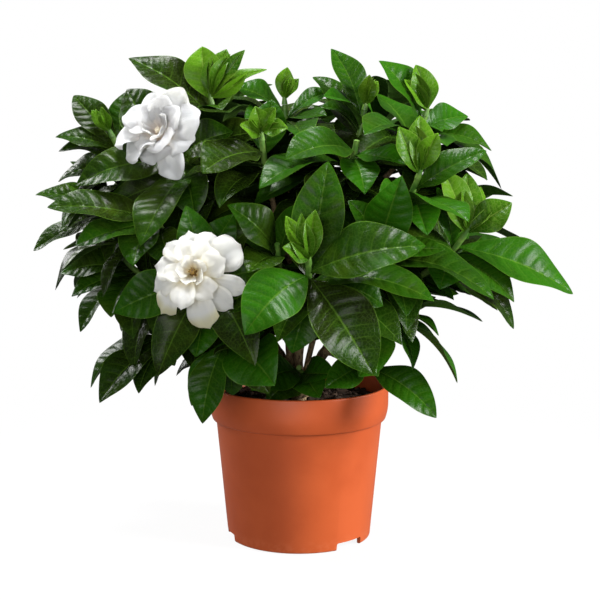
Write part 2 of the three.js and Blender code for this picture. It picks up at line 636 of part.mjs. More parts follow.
function chosenLeaf(shoot, [x, y, z, width, roll = 0], order) {
  const seed = shoot.end.x * 0.37 + shoot.end.z * 0.11 + order;
  const root = shoot.branch.getPoint(shoot.branch.back(FIRST_CHOSEN + CHOSEN_STEP * order));
  const reach = shoot.end.clone().add(V(x, y, z)).sub(root);
  const facing = moved(shoot.facing, UP, -CHOSEN_LESS_UP).add(V(0, -FACE_FORWARD, 0));
  facing.applyAxisAngle(reach.clone().normalize(), radians(roll));
  const fullWidth = Math.max(width, SLIMMEST * reach.length());
  const arch = LEAF_ARCH + LEAF_ARCH_MORE * draw(seed);
  placeLeaf(shoot, root, reach, facing, fullWidth, arch, seed, LEAF_STATIONS);
}

function whorlLeaf(shoot, order) {
  const seed = shoot.end.x * 0.53 + shoot.end.y * 0.29 + 17 * order;
  const place = order % WHORL_SIZE;
  const tier = Math.floor(order / WHORL_SIZE) + (shoot.leaves.length ? TIERS_CHOSEN : 0);
  const back = FIRST_WHORL + WHORL_STEP * tier + WHORL_STAGGER * place;
  const level = Math.abs(shoot.direction.z) < 0.9 ? UP : V(1, 0, 0);
  const across = shoot.direction.clone().cross(level).normalize();
  const { length: usual, longer, longest } = WHORL_LEAF;
  const length = usual + longer * Math.min(tier, longest) + spread(seed + 1, WHORL_LEAF.spread);
  const width = length * (WHORL_LEAF.width + spread(seed + 2, WHORL_LEAF.widthSpread));
  const start = GOLDEN_ANGLE * draw(shoot.end.x) + spread(seed + 3, WHORL_SCATTER);
  const clock = (360 / WHORL_SIZE) * place + WHORL_TURN * tier + start;
  const lean = radians(Math.min(WHORL_LEAN.first + WHORL_LEAN.step * tier, WHORL_LEAN.most));
  const reach = across.applyAxisAngle(shoot.direction, radians(clock)).multiplyScalar(Math.sin(lean));
  reach.addScaledVector(shoot.direction, Math.cos(lean)).multiplyScalar(length);
  reach.z -= WHORL_DROOP * length;
  const arch = LEAF_ARCH + LEAF_ARCH_MORE * draw(seed + 4);
  const root = shoot.branch.getPoint(shoot.branch.back(back));
  placeLeaf(shoot, root, reach, shoot.facing, width, arch, seed, SMALL_LEAF_STATIONS);
}

// A tuft of young leaves stands on the shoot's end.
function placeTuft(shoot) {
  shoot.young.forEach(([x, y, z, width], order) => {
    const root = moved(shoot.end, shoot.direction, GAP + TUFT_STEM_LENGTH + TUFT_STEP * order);
    const reach = shoot.end.clone().add(V(x, y, z)).sub(root);
    const facing = moved(shoot.direction, V(0, -1, 0), TUFT_FORWARD);
    const leaf = blade(root, reach, facing, width, TUFT_ARCH, shoot.end.z + order);
    shoot.tuft.push(leaf);
    place(`${shoot.name}_tip`, shoot.name, samplesOf(leaf, leafOutline, LEAF_FOLD));
  });
}

// A flower's petals, ring by ring.
function startFlower(spec, shoots) {
  const shoot = shoots.find((s) => s.name === spec.shoot);
  const axis = shoot.direction;
  const seat = moved(shoot.end, axis, CALYX_LENGTH + GAP);
  const across = axis.clone().cross(UP).normalize();
  const petals = [];
  spec.rings.forEach((ring, tier) => {
    const { curl, rise } = PETAL_RINGS[tier];
    ring.forEach(([clock, lean, length, width], k) => {
      const out = across.clone().applyAxisAngle(axis, radians(clock));
      const root = moved(moved(seat, axis, rise), out, PETAL_ROOT_OUT);
      const reach = axis.clone().multiplyScalar(Math.cos(radians(lean)));
      reach.addScaledVector(out, Math.sin(radians(lean))).multiplyScalar(length);
      const facing = axis.clone().applyAxisAngle(reach.clone().normalize(), radians(PETAL_TWIST));
      petals.push(blade(root, reach, facing, width, curl, spec.seed + 13 * tier + k));
    });
  });
  petals.forEach((petal) => place(spec.name, spec.shoot, samplesOf(petal, petalOutline, PETAL_FOLD)));
  return { ...spec, axis, seat, petals };
}

const shoots = SHOOTS.map(startShoot);
for (const { path } of limbs) place("wood", "wood", samplesAlong(path, 0));
const flowers = FLOWERS.map((spec) => startFlower(spec, shoots));
shoots.forEach(placeTuft);
shoots.forEach((shoot) => shoot.leaves.forEach((leaf, order) => chosenLeaf(shoot, leaf, order)));
for (const shoot of shoots) {
  for (let order = 0; order < shoot.more; order += 1) whorlLeaf(shoot, order);
}

function makeWood() {
  const [foot, top] = CROWN_RADII;
  const crown = new THREE.CylinderGeometry(top, foot, CROWN_LENGTH, CROWN_SIDES);
  crown.rotateX(Math.PI / 2).translate(0, 0, SOIL_LEVEL - STEM_HOLE_DEPTH + GAP + CROWN_LENGTH / 2);
  const thick = limbs.map(({ path }) => stem(path, 0, 1, LIMB_RADII, 5, LIMB_SIDES));
  const thin = shoots.map(({ branch }) => stem(branch, 0, branch.twigEnd, TWIG_RADII, 3, TWIG_SIDES));
  return fused([solid(crown), ...thick, ...thin], WOOD_TOLERANCES);
}

function leafSolid(leaf, stations) {
  return bladeSolid(leaf, stations, leafOutline, LEAF_FOLD, LEAF_THICKNESS);
}

function makeShoot({ name, branch, blades, end, direction }) {
  const green = stem(branch, branch.greenStart, 1, SHOOT_RADII, 4, TWIG_SIDES);
  const leaves = blades.map((leaf) => leafSolid(leaf, leaf.stations));
  const parts = [green, ...leaves];
  if (FLOWERS.some((flower) => flower.shoot === name)) {
    const foot = moved(end, direction, -CALYX_SINK);
    const radii = [SHOOT_RADII[0], CALYX_RADIUS];
    parts.push(straightStem(foot, direction, CALYX_LENGTH + CALYX_SINK, radii, 3, 8));
  }
  return fused(parts);
}

function makeTuft({ end, direction, tuft }) {
  const length = TUFT_STEM_LENGTH + TUFT_STEP * tuft.length;
  const stub = straightStem(moved(end, direction, GAP), direction, length, TUFT_STEM_RADII, 1, TWIG_SIDES);
  const leaves = tuft.map((leaf) => leafSolid(leaf, SMALL_LEAF_STATIONS));
  return fused([stub, ...leaves]);
}

function makePetals({ seat, axis, petals }) {
  const heart = straightStem(seat, axis, HEART_LENGTH, HEART_RADII, 1, 6);
  const blunt = (petal) => bladeSolid(petal, PETAL_STATIONS, petalOutline, PETAL_FOLD, PETAL_THICKNESS, true);
  return fused([heart, ...petals.map(blunt)]);
}

// The golden eye of a flower: a club with a ring of curled anthers round it.
function makeEye({ axis, seat }) {
  const foot = moved(seat, axis, HEART_LENGTH + GAP);
  const across = axis.clone().cross(UP).normalize();
  const root = moved(foot, axis, ANTHER.root);
  const anthers = [];
  for (let k = 0; k < ANTHERS; k += 1) {
    const out = across.clone().applyAxisAngle(axis, (2 * Math.PI * k) / ANTHERS);
    const reach = moved(out.multiplyScalar(ANTHER.out), axis, ANTHER.rise);
    const anther = blade(root, reach, axis, ANTHER.width, ANTHER.arch, k);
    anthers.push(bladeSolid(anther, [ANTHER.station], leafOutline, 0, ANTHER.thickness));
  }
  return fused([straightStem(foot, axis, CLUB_LENGTH, CLUB_RADII, 1, 6), ...anthers]);
}

addNode("pot", makePot(), potFinish);
addNode("soil", makeSoil(), soilFinish);
addNode("wood", makeWood(), woodFinish);
for (const shoot of shoots) {
  addNode(`shoot_${shoot.name}`, makeShoot(shoot), leafFinish);
  if (shoot.tuft.length) addNode(`tuft_${shoot.name}`, makeTuft(shoot), youngFinish);
}
for (const flower of flowers) {
  addNode(flower.name, makePetals(flower), petalFinish);
  addNode(`${flower.name}_eye`, makeEye(flower), eyeFinish);
}

export default plant;
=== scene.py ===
# %% [markdown]
# # A potted gardenia
# This lesson dresses a bushy gardenia in a plastic nursery pot. The frame gives the solids of the
# plant as plain facets. Each one is replaced here by a finer piece of the same form, in the same
# place, and gets a finish that is worked out by nodes.

# %% Load the frame
import functools
import math

import bpy
import numpy as np
from mathutils import Matrix, Vector, noise


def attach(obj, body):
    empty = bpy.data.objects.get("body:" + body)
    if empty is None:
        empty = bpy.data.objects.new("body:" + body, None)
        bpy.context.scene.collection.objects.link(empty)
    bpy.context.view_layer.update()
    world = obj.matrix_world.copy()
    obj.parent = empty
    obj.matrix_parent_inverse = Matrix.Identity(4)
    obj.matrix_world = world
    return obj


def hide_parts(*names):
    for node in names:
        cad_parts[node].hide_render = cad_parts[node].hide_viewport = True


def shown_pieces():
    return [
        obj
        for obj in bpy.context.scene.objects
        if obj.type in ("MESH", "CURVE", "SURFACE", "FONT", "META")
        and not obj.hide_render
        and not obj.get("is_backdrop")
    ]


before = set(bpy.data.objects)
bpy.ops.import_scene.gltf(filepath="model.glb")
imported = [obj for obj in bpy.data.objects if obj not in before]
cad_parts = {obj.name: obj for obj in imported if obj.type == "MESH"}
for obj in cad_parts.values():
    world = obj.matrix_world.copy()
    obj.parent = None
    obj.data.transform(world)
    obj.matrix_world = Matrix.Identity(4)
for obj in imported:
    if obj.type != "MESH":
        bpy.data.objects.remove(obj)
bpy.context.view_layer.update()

MM = 0.001

# %% [markdown]
# ## The camera
# The photo was taken from a little above the pot, looking slightly down. The rim's ellipse and the
# foot's curve are those of a long lens about a metre away. A camera fitted to those curves sees
# the plant in the same frame, so what is modelled can be compared with the photo directly.

# %% Place the camera
CAMERA_PLACE = (0.0007, -0.950, 0.297)
CAMERA_TILT = 7.45  # degrees below the horizon
CAMERA_LENS = 79.6
SENSOR_WIDTH = 36
NEAREST_SEEN = 0.01

camera = bpy.data.objects.new("camera", bpy.data.cameras.new("camera"))
camera.location = CAMERA_PLACE
camera.rotation_euler = (math.radians(90 - CAMERA_TILT), 0, 0)
camera.data.lens = CAMERA_LENS
camera.data.sensor_width = SENSOR_WIDTH
camera.data.clip_start = NEAREST_SEEN
bpy.context.scene.collection.objects.link(camera)
bpy.context.scene.camera = camera
print("camera at", CAMERA_PLACE)

# %% [markdown]
# ## The light
# The plant stands in a white studio. A large soft box on the right lights that side of the pot. Two
# smaller ones, behind the left and above, draw the pale streaks on the dark leaves, and a broad weak
# one beside the camera opens the shadows at the front. One big lamp would be simpler, but a glossy
# leaf shows the shape of each lamp, so several small ones look more like a studio. A dim sky fills
# what is left, and the lens sees the same sky as plain white paper.

# %% Hang the lamps
LIGHTS = [
    # name, place, watts, width, height
    ("key", (1.50, -0.52, 0.72), 60, 0.7, 0.7),
    ("left_back", (-1.0, 0.58, 0.90), 20, 0.35, 0.8),
    ("overhead", (-0.15, -0.05, 1.5), 31, 0.5, 0.4),
    ("front", (-0.30, -1.7, 0.46), 17, 0.9, 0.9),
]
AIM = Vector((0, 0, 0.2))

for name, place, watts, width, height in LIGHTS:
    lamp = bpy.data.lights.new(name, "AREA")
    lamp.shape = "RECTANGLE"
    lamp.energy = watts
    lamp.size, lamp.size_y = width, height
    holder = bpy.data.objects.new(name, lamp)
    holder.location = place
    holder.rotation_euler = (AIM - Vector(place)).to_track_quat("-Z", "Y").to_euler()
    bpy.context.scene.collection.objects.link(holder)
print("lights:", [row[0] for row in LIGHTS])

# %% Set the sky
SKY_FILL = 0.18
WHITE = (1, 1, 1, 1)

world = bpy.data.worlds.new("studio")
world.use_nodes = True
sky = world.node_tree
sky.nodes.clear()
sky_output = sky.nodes.new("ShaderNodeOutputWorld")
sky_mix = sky.nodes.new("ShaderNodeMixShader")
sky_seen = sky.nodes.new("ShaderNodeLightPath")
sky.links.new(sky_seen.outputs["Is Camera Ray"], sky_mix.inputs[0])
for slot, strength in ((1, SKY_FILL), (2, 1.0)):
    background = sky.nodes.new("ShaderNodeBackground")
    background.inputs["Color"].default_value = WHITE
    background.inputs["Strength"].default_value = strength
    sky.links.new(background.outputs[0], sky_mix.inputs[slot])
sky.links.new(sky_mix.outputs[0], sky_output.inputs[0])
bpy.context.scene.world = world
bpy.context.scene.view_settings.view_transform = "Standard"
print("strength of the sky's fill:", SKY_FILL)

# %% [markdown]
# ## Writing a finish
# A finish is a small tree of nodes. Writing each node out takes many lines, so a helper adds a node,
# sets its values and joins its inputs in one call. An input that has no plain name is given by its
# number, as in _0. Whatever is the same all over a surface, such as how strongly it reflects, is set
# straight on the shader.

# %% A helper for node trees
class Nodes:
    """A tree of nodes, to which each call adds one and joins its inputs."""

    def __init__(self, tree):
        self.tree = tree
        self.tree.nodes.clear()

    def join(self, source, target):
        self.tree.links.new(source, target)

    def add(self, kind, settings=None, **inputs):
        made = self.tree.nodes.new("ShaderNode" + kind)
        for name, value in (settings or {}).items():
            setattr(made, name, value)
        for name, value in inputs.items():
            socket = made.inputs[int(name[1:])] if name[0] == "_" else made.inputs[name.replace("_", " ")]
            if isinstance(value, bpy.types.NodeSocket):
                self.join(value, socket)
            else:
                socket.default_value = value
        return made

    def math(self, operation, first, second=0.0, clamp=False):
        settings = {"operation": operation, "use_clamp": clamp}
        return self.add("Math", settings, _0=first, _1=second).outputs[0]

    def noise(self, scale, detail=3.0, where=None, roughness=0.55):
        where = where or self.place()
        made = self.add("TexNoise", Vector=where, Scale=scale, Detail=detail, Roughness=roughness)
        return made.outputs["Fac"]

    def place(self):
        return self.add("TexCoord").outputs["Object"]

    def band(self, value, low, high):
        """0 below low, 1 above high, with a smooth step between; low may be the larger one."""
        settings = {"interpolation_type": "SMOOTHSTEP"}
        return self.add("MapRange", settings, Value=value, From_Min=low, From_Max=high).outputs[0]

    def between(self, share, first, second):
        """A colour between two, by a share from 0 to 1."""
        colours = [c if isinstance(c, bpy.types.NodeSocket) else (*c, 1) for c in (first, second)]
        made = self.add("Mix", {"data_type": "RGBA"}, _0=share, _6=colours[0], _7=colours[1])
        return made.outputs[2]

    def bump(self, height, distance, strength=1.0, under=None):
        made = self.add("Bump", Height=height, Distance=distance, Strength=strength)
        if under:
            self.join(under, made.inputs["Normal"])
        return made.outputs[0]


print("what a tree of nodes can add:", [name for name in vars(Nodes) if name[0] != "_"])


# %% A helper for finishes
class Finish(Nodes):
    """One material, written step by step round a Principled shader."""

    def __init__(self, name, **constants):
        self.material = bpy.data.materials.new(name)
        self.material.use_nodes = True
        super().__init__(self.material.node_tree)
        self.output = self.tree.nodes.new("ShaderNodeOutputMaterial")
        self.shader = self.add("BsdfPrincipled", **constants)
        self.join(self.shader.outputs[0], self.output.inputs[0])

    def tone(self):
        """The value that each leaf, petal or crumb carries on its points."""
        return self.add("Attribute", {"attribute_name": "tone"}).outputs["Fac"]

    def blade(self):
        """A blade's own coordinates, and from them the share along it and the share off its middle."""
        where = self.add("UVMap", {"uv_map": "blade"}).outputs[0]
        share = self.add("SeparateXYZ", Vector=where)
        off_middle = self.math("ABSOLUTE", self.math("SUBTRACT", share.outputs["Y"], 0.5))
        return where, share.outputs["X"], off_middle

    def paint(self, colour, bump):
        self.join(colour, self.shader.inputs["Base Color"])
        self.join(bump, self.shader.inputs["Normal"])

    def blend(self, share, other):
        """Gives a share of the surface to another shader."""
        both = self.add("MixShader", _0=share)
        self.join(self.shader.outputs[0], both.inputs[1])
        self.join(other.outputs[0], both.inputs[2])
        self.join(both.outputs[0], self.output.inputs[0])


print("what a finish adds to it:", [name for name in vars(Finish) if name[0] != "_"])

# %% [markdown]
# ## The floor
# Real product shots stand on a sweep of white paper. Here a disc is enough. It is nearly clear, so
# that it catches only a breath of the pot's shadow, and it thins out to nothing a few hand widths
# away, so no horizon shows from any side.

# %% Lay the floor
FLOOR_RADIUS = 0.5
FLOOR_SIDES = 96
FLOOR_DROP = 0.0002  # under the foot, so that the two don't share a plane
FLOOR_CLEAR_FROM, FLOOR_CLEAR_TO = 0.07, FLOOR_RADIUS - 0.04
FLOOR_SHARE = 0.10  # how much of the floor is paper, the rest lets the white of the studio through

bpy.ops.mesh.primitive_circle_add(vertices=FLOOR_SIDES, radius=FLOOR_RADIUS, fill_type="NGON")
floor = bpy.context.object
floor.name = "floor"
floor.location.z = -FLOOR_DROP
paper_finish = Finish("white_paper", Base_Color=(0.93, 0.93, 0.93, 1), Roughness=0.9)
paper_place = paper_finish.place()
paper_far = paper_finish.add("VectorMath", {"operation": "LENGTH"}, _0=paper_place).outputs["Value"]
paper_near = paper_finish.band(paper_far, FLOOR_CLEAR_TO, FLOOR_CLEAR_FROM)
paper_thin = paper_finish.math("SUBTRACT", 1.0, paper_finish.math("MULTIPLY", paper_near, FLOOR_SHARE))
paper_finish.blend(paper_thin, paper_finish.add("BsdfTransparent"))
floor.data.materials.append(paper_finish.material)
floor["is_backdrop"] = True
print("floor radius", FLOOR_RADIUS)

# %% [markdown]
# ## From numbers to pieces
# A piece with thousands of repeated faces is quickest to make as a list of points and faces. The
# helper below joins several such lists into one mesh, shades it smoothly except over sharp edges,
# and hides the frame's nodes that the piece stands for.

# %% A helper for pieces
SHARP = math.radians(50)  # edges that turn by more than this stay sharp


class Shape:
    """Points in millimetres, faces, a finish number for each face, and two values for each point."""

    def __init__(self):
        self.points, self.faces, self.finishes, self.uv, self.tone = [], [], [], [], []
        self.count = 0

    def add(self, points, faces, finish=0, uv=None, tone=0.5):
        self.faces += [[i + self.count for i in face] for face in faces]
        self.finishes += finish if isinstance(finish, list) else [finish] * len(faces)
        self.points.append(points)
        self.uv.append(np.zeros((len(points), 2)) if uv is None else uv)
        self.tone.append(np.full(len(points), float(tone)))
        self.count += len(points)

    def mesh(self, name):
        made = bpy.data.meshes.new(name)
        made.from_pydata((np.concatenate(self.points) * MM).tolist(), [], self.faces)
        return made


def make_piece(name, shape, finishes, slot, *nodes):
    """One visible piece, which stands for the frame's nodes of those names."""
    mesh = shape.mesh(name)
    for finish in finishes:
        mesh.materials.append(finish.material)
    mesh.polygons.foreach_set("material_index", shape.finishes)
    corners = np.empty(len(mesh.loops), np.int32)
    mesh.loops.foreach_get("vertex_index", corners)
    uv = np.concatenate(shape.uv)[corners]
    mesh.uv_layers.new(name="blade").data.foreach_set("uv", uv.ravel())
    tone = mesh.attributes.new("tone", "FLOAT", "POINT")
    tone.data.foreach_set("value", np.concatenate(shape.tone))
    mesh.shade_smooth()
    mesh.set_sharp_from_angle(angle=SHARP)
    mesh.validate()
    piece = bpy.data.objects.new(name, mesh)
    bpy.context.scene.collection.objects.link(piece)
    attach(piece, "root")
    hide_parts(*nodes)
    return piece


print("smooth up to", round(math.degrees(SHARP)), "degrees")

# %% [markdown]
# ## The pot
# A nursery pot is moulded in thin polypropylene: a tapering body, a plain band under the rim and a
# ring foot with notches that let water out. It is a turned form, so one outline spun round the axis
# makes it. Its edges are small arcs, because a moulded edge is never sharp and each arc catches a
# line of light. The Screw modifier could spin it too, but a list of points serves the soil as well.
# The notches and drain holes are cut afterwards with the Boolean modifier.

# %% The pot's sizes
POT_HEIGHT = 112
RIM_RADIUS = 65
RIM_WALL = 2.4
BAND_FOOT = 87  # the lower edge of the band under the rim
BAND_FOOT_RADIUS = 62.8
BAND_FLARE = 7  # how far up the band reaches the rim's radius
BODY_TOP_RADIUS = 60.3
FOOT_RADIUS = 52
SHOULDER = 86  # where the inside widens towards the rim
SHOULDER_RADIUS = 58.5
FLOOR_UNDERSIDE = 9
FLOOR_TOP = 11.5
INNER_FLOOR_RADIUS = 50.8
RING_RADIUS = 49  # inside the ring foot
print("pot:", 2 * RIM_RADIUS, "mm across,", POT_HEIGHT, "mm high")

# %% Helpers for turned forms
ARC_STEPS = 4


def rounded(corners):
    """An outline from rows of x, y and the radius of the arc that each corner is turned into."""
    outline = []
    places = [Vector(row[:2]) for row in corners]
    for i, corner in enumerate(places):
        before, after, radius = places[i - 1], places[(i + 1) % len(places)], corners[i][2]
        if radius == 0:
            outline.append(corner)
            continue
        start = corner + (before - corner).normalized() * radius
        end = corner + (after - corner).normalized() * radius
        for k in range(ARC_STEPS + 1):
            t = k / ARC_STEPS
            outline.append((1 - t) ** 2 * start + 2 * t * (1 - t) * corner + t * t * end)
    return outline


def spin(outline, sides):
    """Points and faces of a closed outline of (radius, height), spun round the axis."""
    turns = np.arange(sides) * 2 * math.pi / sides
    points, rows = [], []
    for radius, height in outline:
        if radius < 1e-6:
            rows.append([len(points)] * sides)
            points.append((0, 0, height))
        else:
            rows.append(list(range(len(points), len(points) + sides)))
            points += [(radius * math.cos(a), radius * math.sin(a), height) for a in turns]
    faces = []
    for low, high in zip(rows, rows[1:] + rows[:1]):
        if low[0] == low[1] and high[0] == high[1]:
            continue
        for k in range(sides):
            n = (k + 1) % sides
            face = [low[k], low[n], high[n], high[k]]
            faces.append(list(dict.fromkeys(face)))
    return np.array(points, float), faces


print("points on each rounded corner:", ARC_STEPS + 1)

# %% Spin the pot
POT_SIDES = 180
POT_OUTLINE = rounded([
    (RING_RADIUS, 0, 0.5), (FOOT_RADIUS, 0, 1.3),
    (BODY_TOP_RADIUS, BAND_FOOT, 0.7), (BAND_FOOT_RADIUS, BAND_FOOT, 1.2),
    (RIM_RADIUS, BAND_FOOT + BAND_FLARE, 5), (RIM_RADIUS, POT_HEIGHT, 1.1),
    (RIM_RADIUS - RIM_WALL, POT_HEIGHT, 1.1), (SHOULDER_RADIUS, SHOULDER, 2.5),
    (INNER_FLOOR_RADIUS, FLOOR_TOP, 1.5), (0, FLOOR_TOP, 0),
    (0, FLOOR_UNDERSIDE, 0), (RING_RADIUS, FLOOR_UNDERSIDE, 0.8),
])
pot_shape = Shape()
pot_shape.add(*spin(POT_OUTLINE, POT_SIDES))
print("pot outline has", len(POT_OUTLINE), "points")

# %% [markdown]
# The plastic is satin and slightly uneven. Broad, faint changes of tone come from the regrind in the
# melt, the fine grain is that of the mould, and a little dry dust stays round the foot. The grain is
# a bump of a few hundredths of a millimetre.

# %% The terracotta plastic
terracotta = Finish("terracotta_plastic", Specular_IOR_Level=0.32, Coat_Weight=0.03, Coat_Roughness=0.35)
CLAY = (0.45, 0.080, 0.018)
CLAY_DEEP = (0.39, 0.064, 0.013)
CLAY_DUSTY = (0.60, 0.17, 0.07)
clay_cloud = terracotta.noise(16.0, 4.0)
clay_height = terracotta.add("SeparateXYZ", Vector=terracotta.place()).outputs["Z"]
clay_speckle = terracotta.band(terracotta.noise(240.0, 5.0), 0.42, 0.62)
clay_dust = terracotta.math("MULTIPLY", terracotta.band(clay_height, 0.012, 0.0), clay_speckle)
clay_plain = terracotta.between(terracotta.band(clay_cloud, 0.35, 0.65), CLAY_DEEP, CLAY)
clay_colour = terracotta.between(terracotta.math("MULTIPLY", clay_dust, 0.25), clay_plain, CLAY_DUSTY)
clay_rough = terracotta.add("MapRange", Value=clay_cloud, To_Min=0.40, To_Max=0.52)
terracotta.join(clay_rough.outputs[0], terracotta.shader.inputs["Roughness"])
clay_grain = terracotta.bump(terracotta.noise(1400.0, 2.0), 0.00006, 0.5)
clay_wobble = terracotta.bump(terracotta.noise(60.0, 2.0), 0.00035, 0.35, clay_grain)
terracotta.paint(clay_colour, clay_wobble)

pot = make_piece("pot_body", pot_shape, [terracotta], "pot", "pot")
print("pot faces:", len(pot.data.polygons))

# %% Shape what is cut away
NOTCH_WIDTH = 24.0
NOTCH_HEIGHT = 5.4
NOTCH_UNDER, NOTCH_REACH = 2, 8  # how far a cutter goes past the foot, downwards and to each side
NOTCH_CORNER = 1.6
DRAIN_HOLE_RADIUS = 4.0
DRAIN_HOLE_PLACE = 38.0
DRAIN_HOLE_FROM, DRAIN_HOLE_TO = 5, 16
DRAIN_HOLE_SIDES = 32


def notch_shape():
    """A slab across the ring foot, whose two upper edges are rounded."""
    half = NOTCH_WIDTH / 2
    outline = rounded([
        (-half, -NOTCH_UNDER, 0), (half, -NOTCH_UNDER, 0),
        (half, NOTCH_HEIGHT, NOTCH_CORNER), (-half, NOTCH_HEIGHT, NOTCH_CORNER),
    ])
    count = len(outline)
    ends = [FOOT_RADIUS - NOTCH_REACH, FOOT_RADIUS + NOTCH_REACH]
    points = [(x, y, z) for x in ends for y, z in outline]
    faces = [list(range(count))[::-1], list(range(count, 2 * count))]
    faces += [[k, (k + 1) % count, count + (k + 1) % count, count + k] for k in range(count)]
    made = Shape()
    made.add(np.array(points, float), faces)
    return made


def drain_hole_shape():
    made = Shape()
    low, high = DRAIN_HOLE_FROM, DRAIN_HOLE_TO
    outline = [(0, low), (DRAIN_HOLE_RADIUS, low), (DRAIN_HOLE_RADIUS, high), (0, high)]
    points, faces = spin(outline, DRAIN_HOLE_SIDES)
    made.add(points + (DRAIN_HOLE_PLACE, 0, 0), faces)
    return made


print("a notch is", NOTCH_WIDTH, "mm wide, a drain hole", 2 * DRAIN_HOLE_RADIUS, "mm")

# %% Cut the notches and drain holes
NOTCH_CENTRES = [-46, 74, 194]  # degrees round the axis


def cutter(shape, turn):
    """A solid that is cut away from the pot, turned round the axis."""
    mesh = shape.mesh("cutter")
    mesh.transform(Matrix.Rotation(math.radians(turn), 4, "Z"))
    made = bpy.data.objects.new("cutter", mesh)
    bpy.context.scene.collection.objects.link(made)
    return made


for turn in NOTCH_CENTRES:
    for shape in (notch_shape(), drain_hole_shape()):
        tool = cutter(shape, turn)
        cut = pot.modifiers.new("cut", "BOOLEAN")
        cut.operation = "DIFFERENCE"
        cut.object = tool
        with bpy.context.temp_override(object=pot, active_object=pot):
            bpy.ops.object.modifier_apply(modifier=cut.name)
        bpy.data.objects.remove(tool)
pot.data.set_sharp_from_angle(angle=SHARP)
print("pot faces after the cuts:", len(pot.data.polygons))

# %% [markdown]
# ## The potting soil
# Peat with a little bark fills the pot to just under the rim. It is dark, moist and crumbly. One
# uneven surface would look like a carpet, so the top is a fine grid raised by noise, and several
# hundred separate crumbs of all sizes lie on it, each a small lumpy stone of its own.

# %% Fill the pot
SOIL_LEVEL = 100  # millimetres above the ground
SOIL_RADIUS, SOIL_FOOT_RADIUS = 58, 50
GAP = 0.3  # between neighbouring solids
STEM_HOLE_RADIUS = 7.4
STEM_HOLE_BOTTOM = 74
SOIL_SIDES = 150
SOIL_RINGS = 42


def soil_height(x, y):
    """The soil's broad waves and its lumps."""
    waves = 1.3 * math.sin(x * 0.31 + y * 0.17) + 1.1 * math.cos(y * 0.37 - x * 0.11)
    lumps = noise.fractal(Vector((x, y, 3)) * 0.25, 0.8, 2.1, 4)
    return SOIL_LEVEL + 0.8 * waves + 0.9 * lumps


def make_soil():
    outline = [(0, FLOOR_TOP + GAP), (SOIL_FOOT_RADIUS, FLOOR_TOP + GAP), (SOIL_RADIUS, SHOULDER)]
    outline += [(r, SOIL_LEVEL) for r in np.linspace(SOIL_RADIUS, STEM_HOLE_RADIUS, SOIL_RINGS)]
    outline += [(STEM_HOLE_RADIUS, STEM_HOLE_BOTTOM), (0, STEM_HOLE_BOTTOM)]
    points, faces = spin(outline, SOIL_SIDES)
    for p in points:
        if p[2] == SOIL_LEVEL:
            p[2] = soil_height(p[0], p[1])
    made = Shape()
    made.add(points, faces)
    return made


soil_shape = make_soil()
print("points of soil:", soil_shape.count)

# %% [markdown]
# Crumbs, stems and leaves all differ a little from each other. A lesson has to come out the same each
# time, so nothing is left to chance. A number that only looks random is worked out from a seed.

# %% Numbers that look random
def draw(seed):
    """A number from 0 to 1 that is always the same for the same seed."""
    n = math.sin(seed * 12.9898 + 4.1414) * 43758.5453
    return n - math.floor(n)


def spread(seed, amount):
    return (draw(seed) * 2 - 1) * amount


print("three draws:", [round(draw(k), 2) for k in range(3)])

# %% Strew the crumbs
CRUMBS = 620
CRUMB_LEAST, CRUMB_MORE = 0.5, 2.1  # their size
CRUMB_INSET = (2, 3)  # how far they keep from the stem and from the pot
CRUMB_STRETCH, CRUMB_LUMPS = 0.35, 0.22


def crumb(seed):
    """A lumpy stone: a small ball of points, pushed in and out."""
    size = CRUMB_LEAST + CRUMB_MORE * draw(seed + 0.1) ** 3
    room = SOIL_RADIUS - STEM_HOLE_RADIUS - sum(CRUMB_INSET)
    away = STEM_HOLE_RADIUS + CRUMB_INSET[0] + room * math.sqrt(draw(seed + 0.2))
    turn = 2 * math.pi * draw(seed + 0.3)
    centre = np.array([away * math.cos(turn), away * math.sin(turn), 0.0])
    centre[2] = soil_height(centre[0], centre[1]) + 0.35 * size
    outline = [Vector((math.sin(a), -math.cos(a))) for a in np.linspace(0, math.pi, 5)]
    outline[0][0] = outline[-1][0] = 0
    points, faces = spin(outline, 6)
    stretch = np.array([1 + spread(seed + k, CRUMB_STRETCH) for k in (0.4, 0.5, 0.6)])
    jitter = np.array([1 + spread(seed + 0.7 + 0.01 * k, CRUMB_LUMPS) for k in range(len(points))])
    return points * stretch * jitter[:, None] * size + centre, faces[:-6]


for k in range(CRUMBS):
    soil_shape.add(*crumb(k), tone=draw(k + 0.9))
print("points with the crumbs:", soil_shape.count)

# %% [markdown]
# Moist peat is nearly black between its crumbs and brown on top of them. Each crumb has a tone of its
# own, which shifts its colour, and one noise drives both the colour and the bump.

# %% Colour the soil
PEAT_DARK, PEAT_LIGHT = (0.010, 0.006, 0.004), (0.075, 0.043, 0.024)

peat = Finish("moist_peat", Roughness=0.86, Specular_IOR_Level=0.3)
peat_lumps = peat.noise(420.0, 6.0)
peat_share = peat.math("ADD", peat.math("MULTIPLY", peat.tone(), 0.5), peat.band(peat_lumps, 0.3, 0.8))
peat_colour = peat.between(peat.math("MULTIPLY", peat_share, 0.6, True), PEAT_DARK, PEAT_LIGHT)
peat.paint(peat_colour, peat.bump(peat_lumps, 0.0012, 0.9))
soil = make_piece("potting_soil", soil_shape, [peat], "soil", "soil")
print("soil faces:", len(soil.data.polygons))

# %% [markdown]
# ## How the shrub grows
# A gardenia forks low, each twig ends in a green shoot, and each shoot carries whorls of leaves. The
# shrub's places come from one rule. It puts the front leaves where the photo shows them and fills
# the rest with whorls that keep clear of what is there. The frame's solids were made by the same
# rule, so the fine leaves fall exactly over them. Distances in this rule are millimetres.

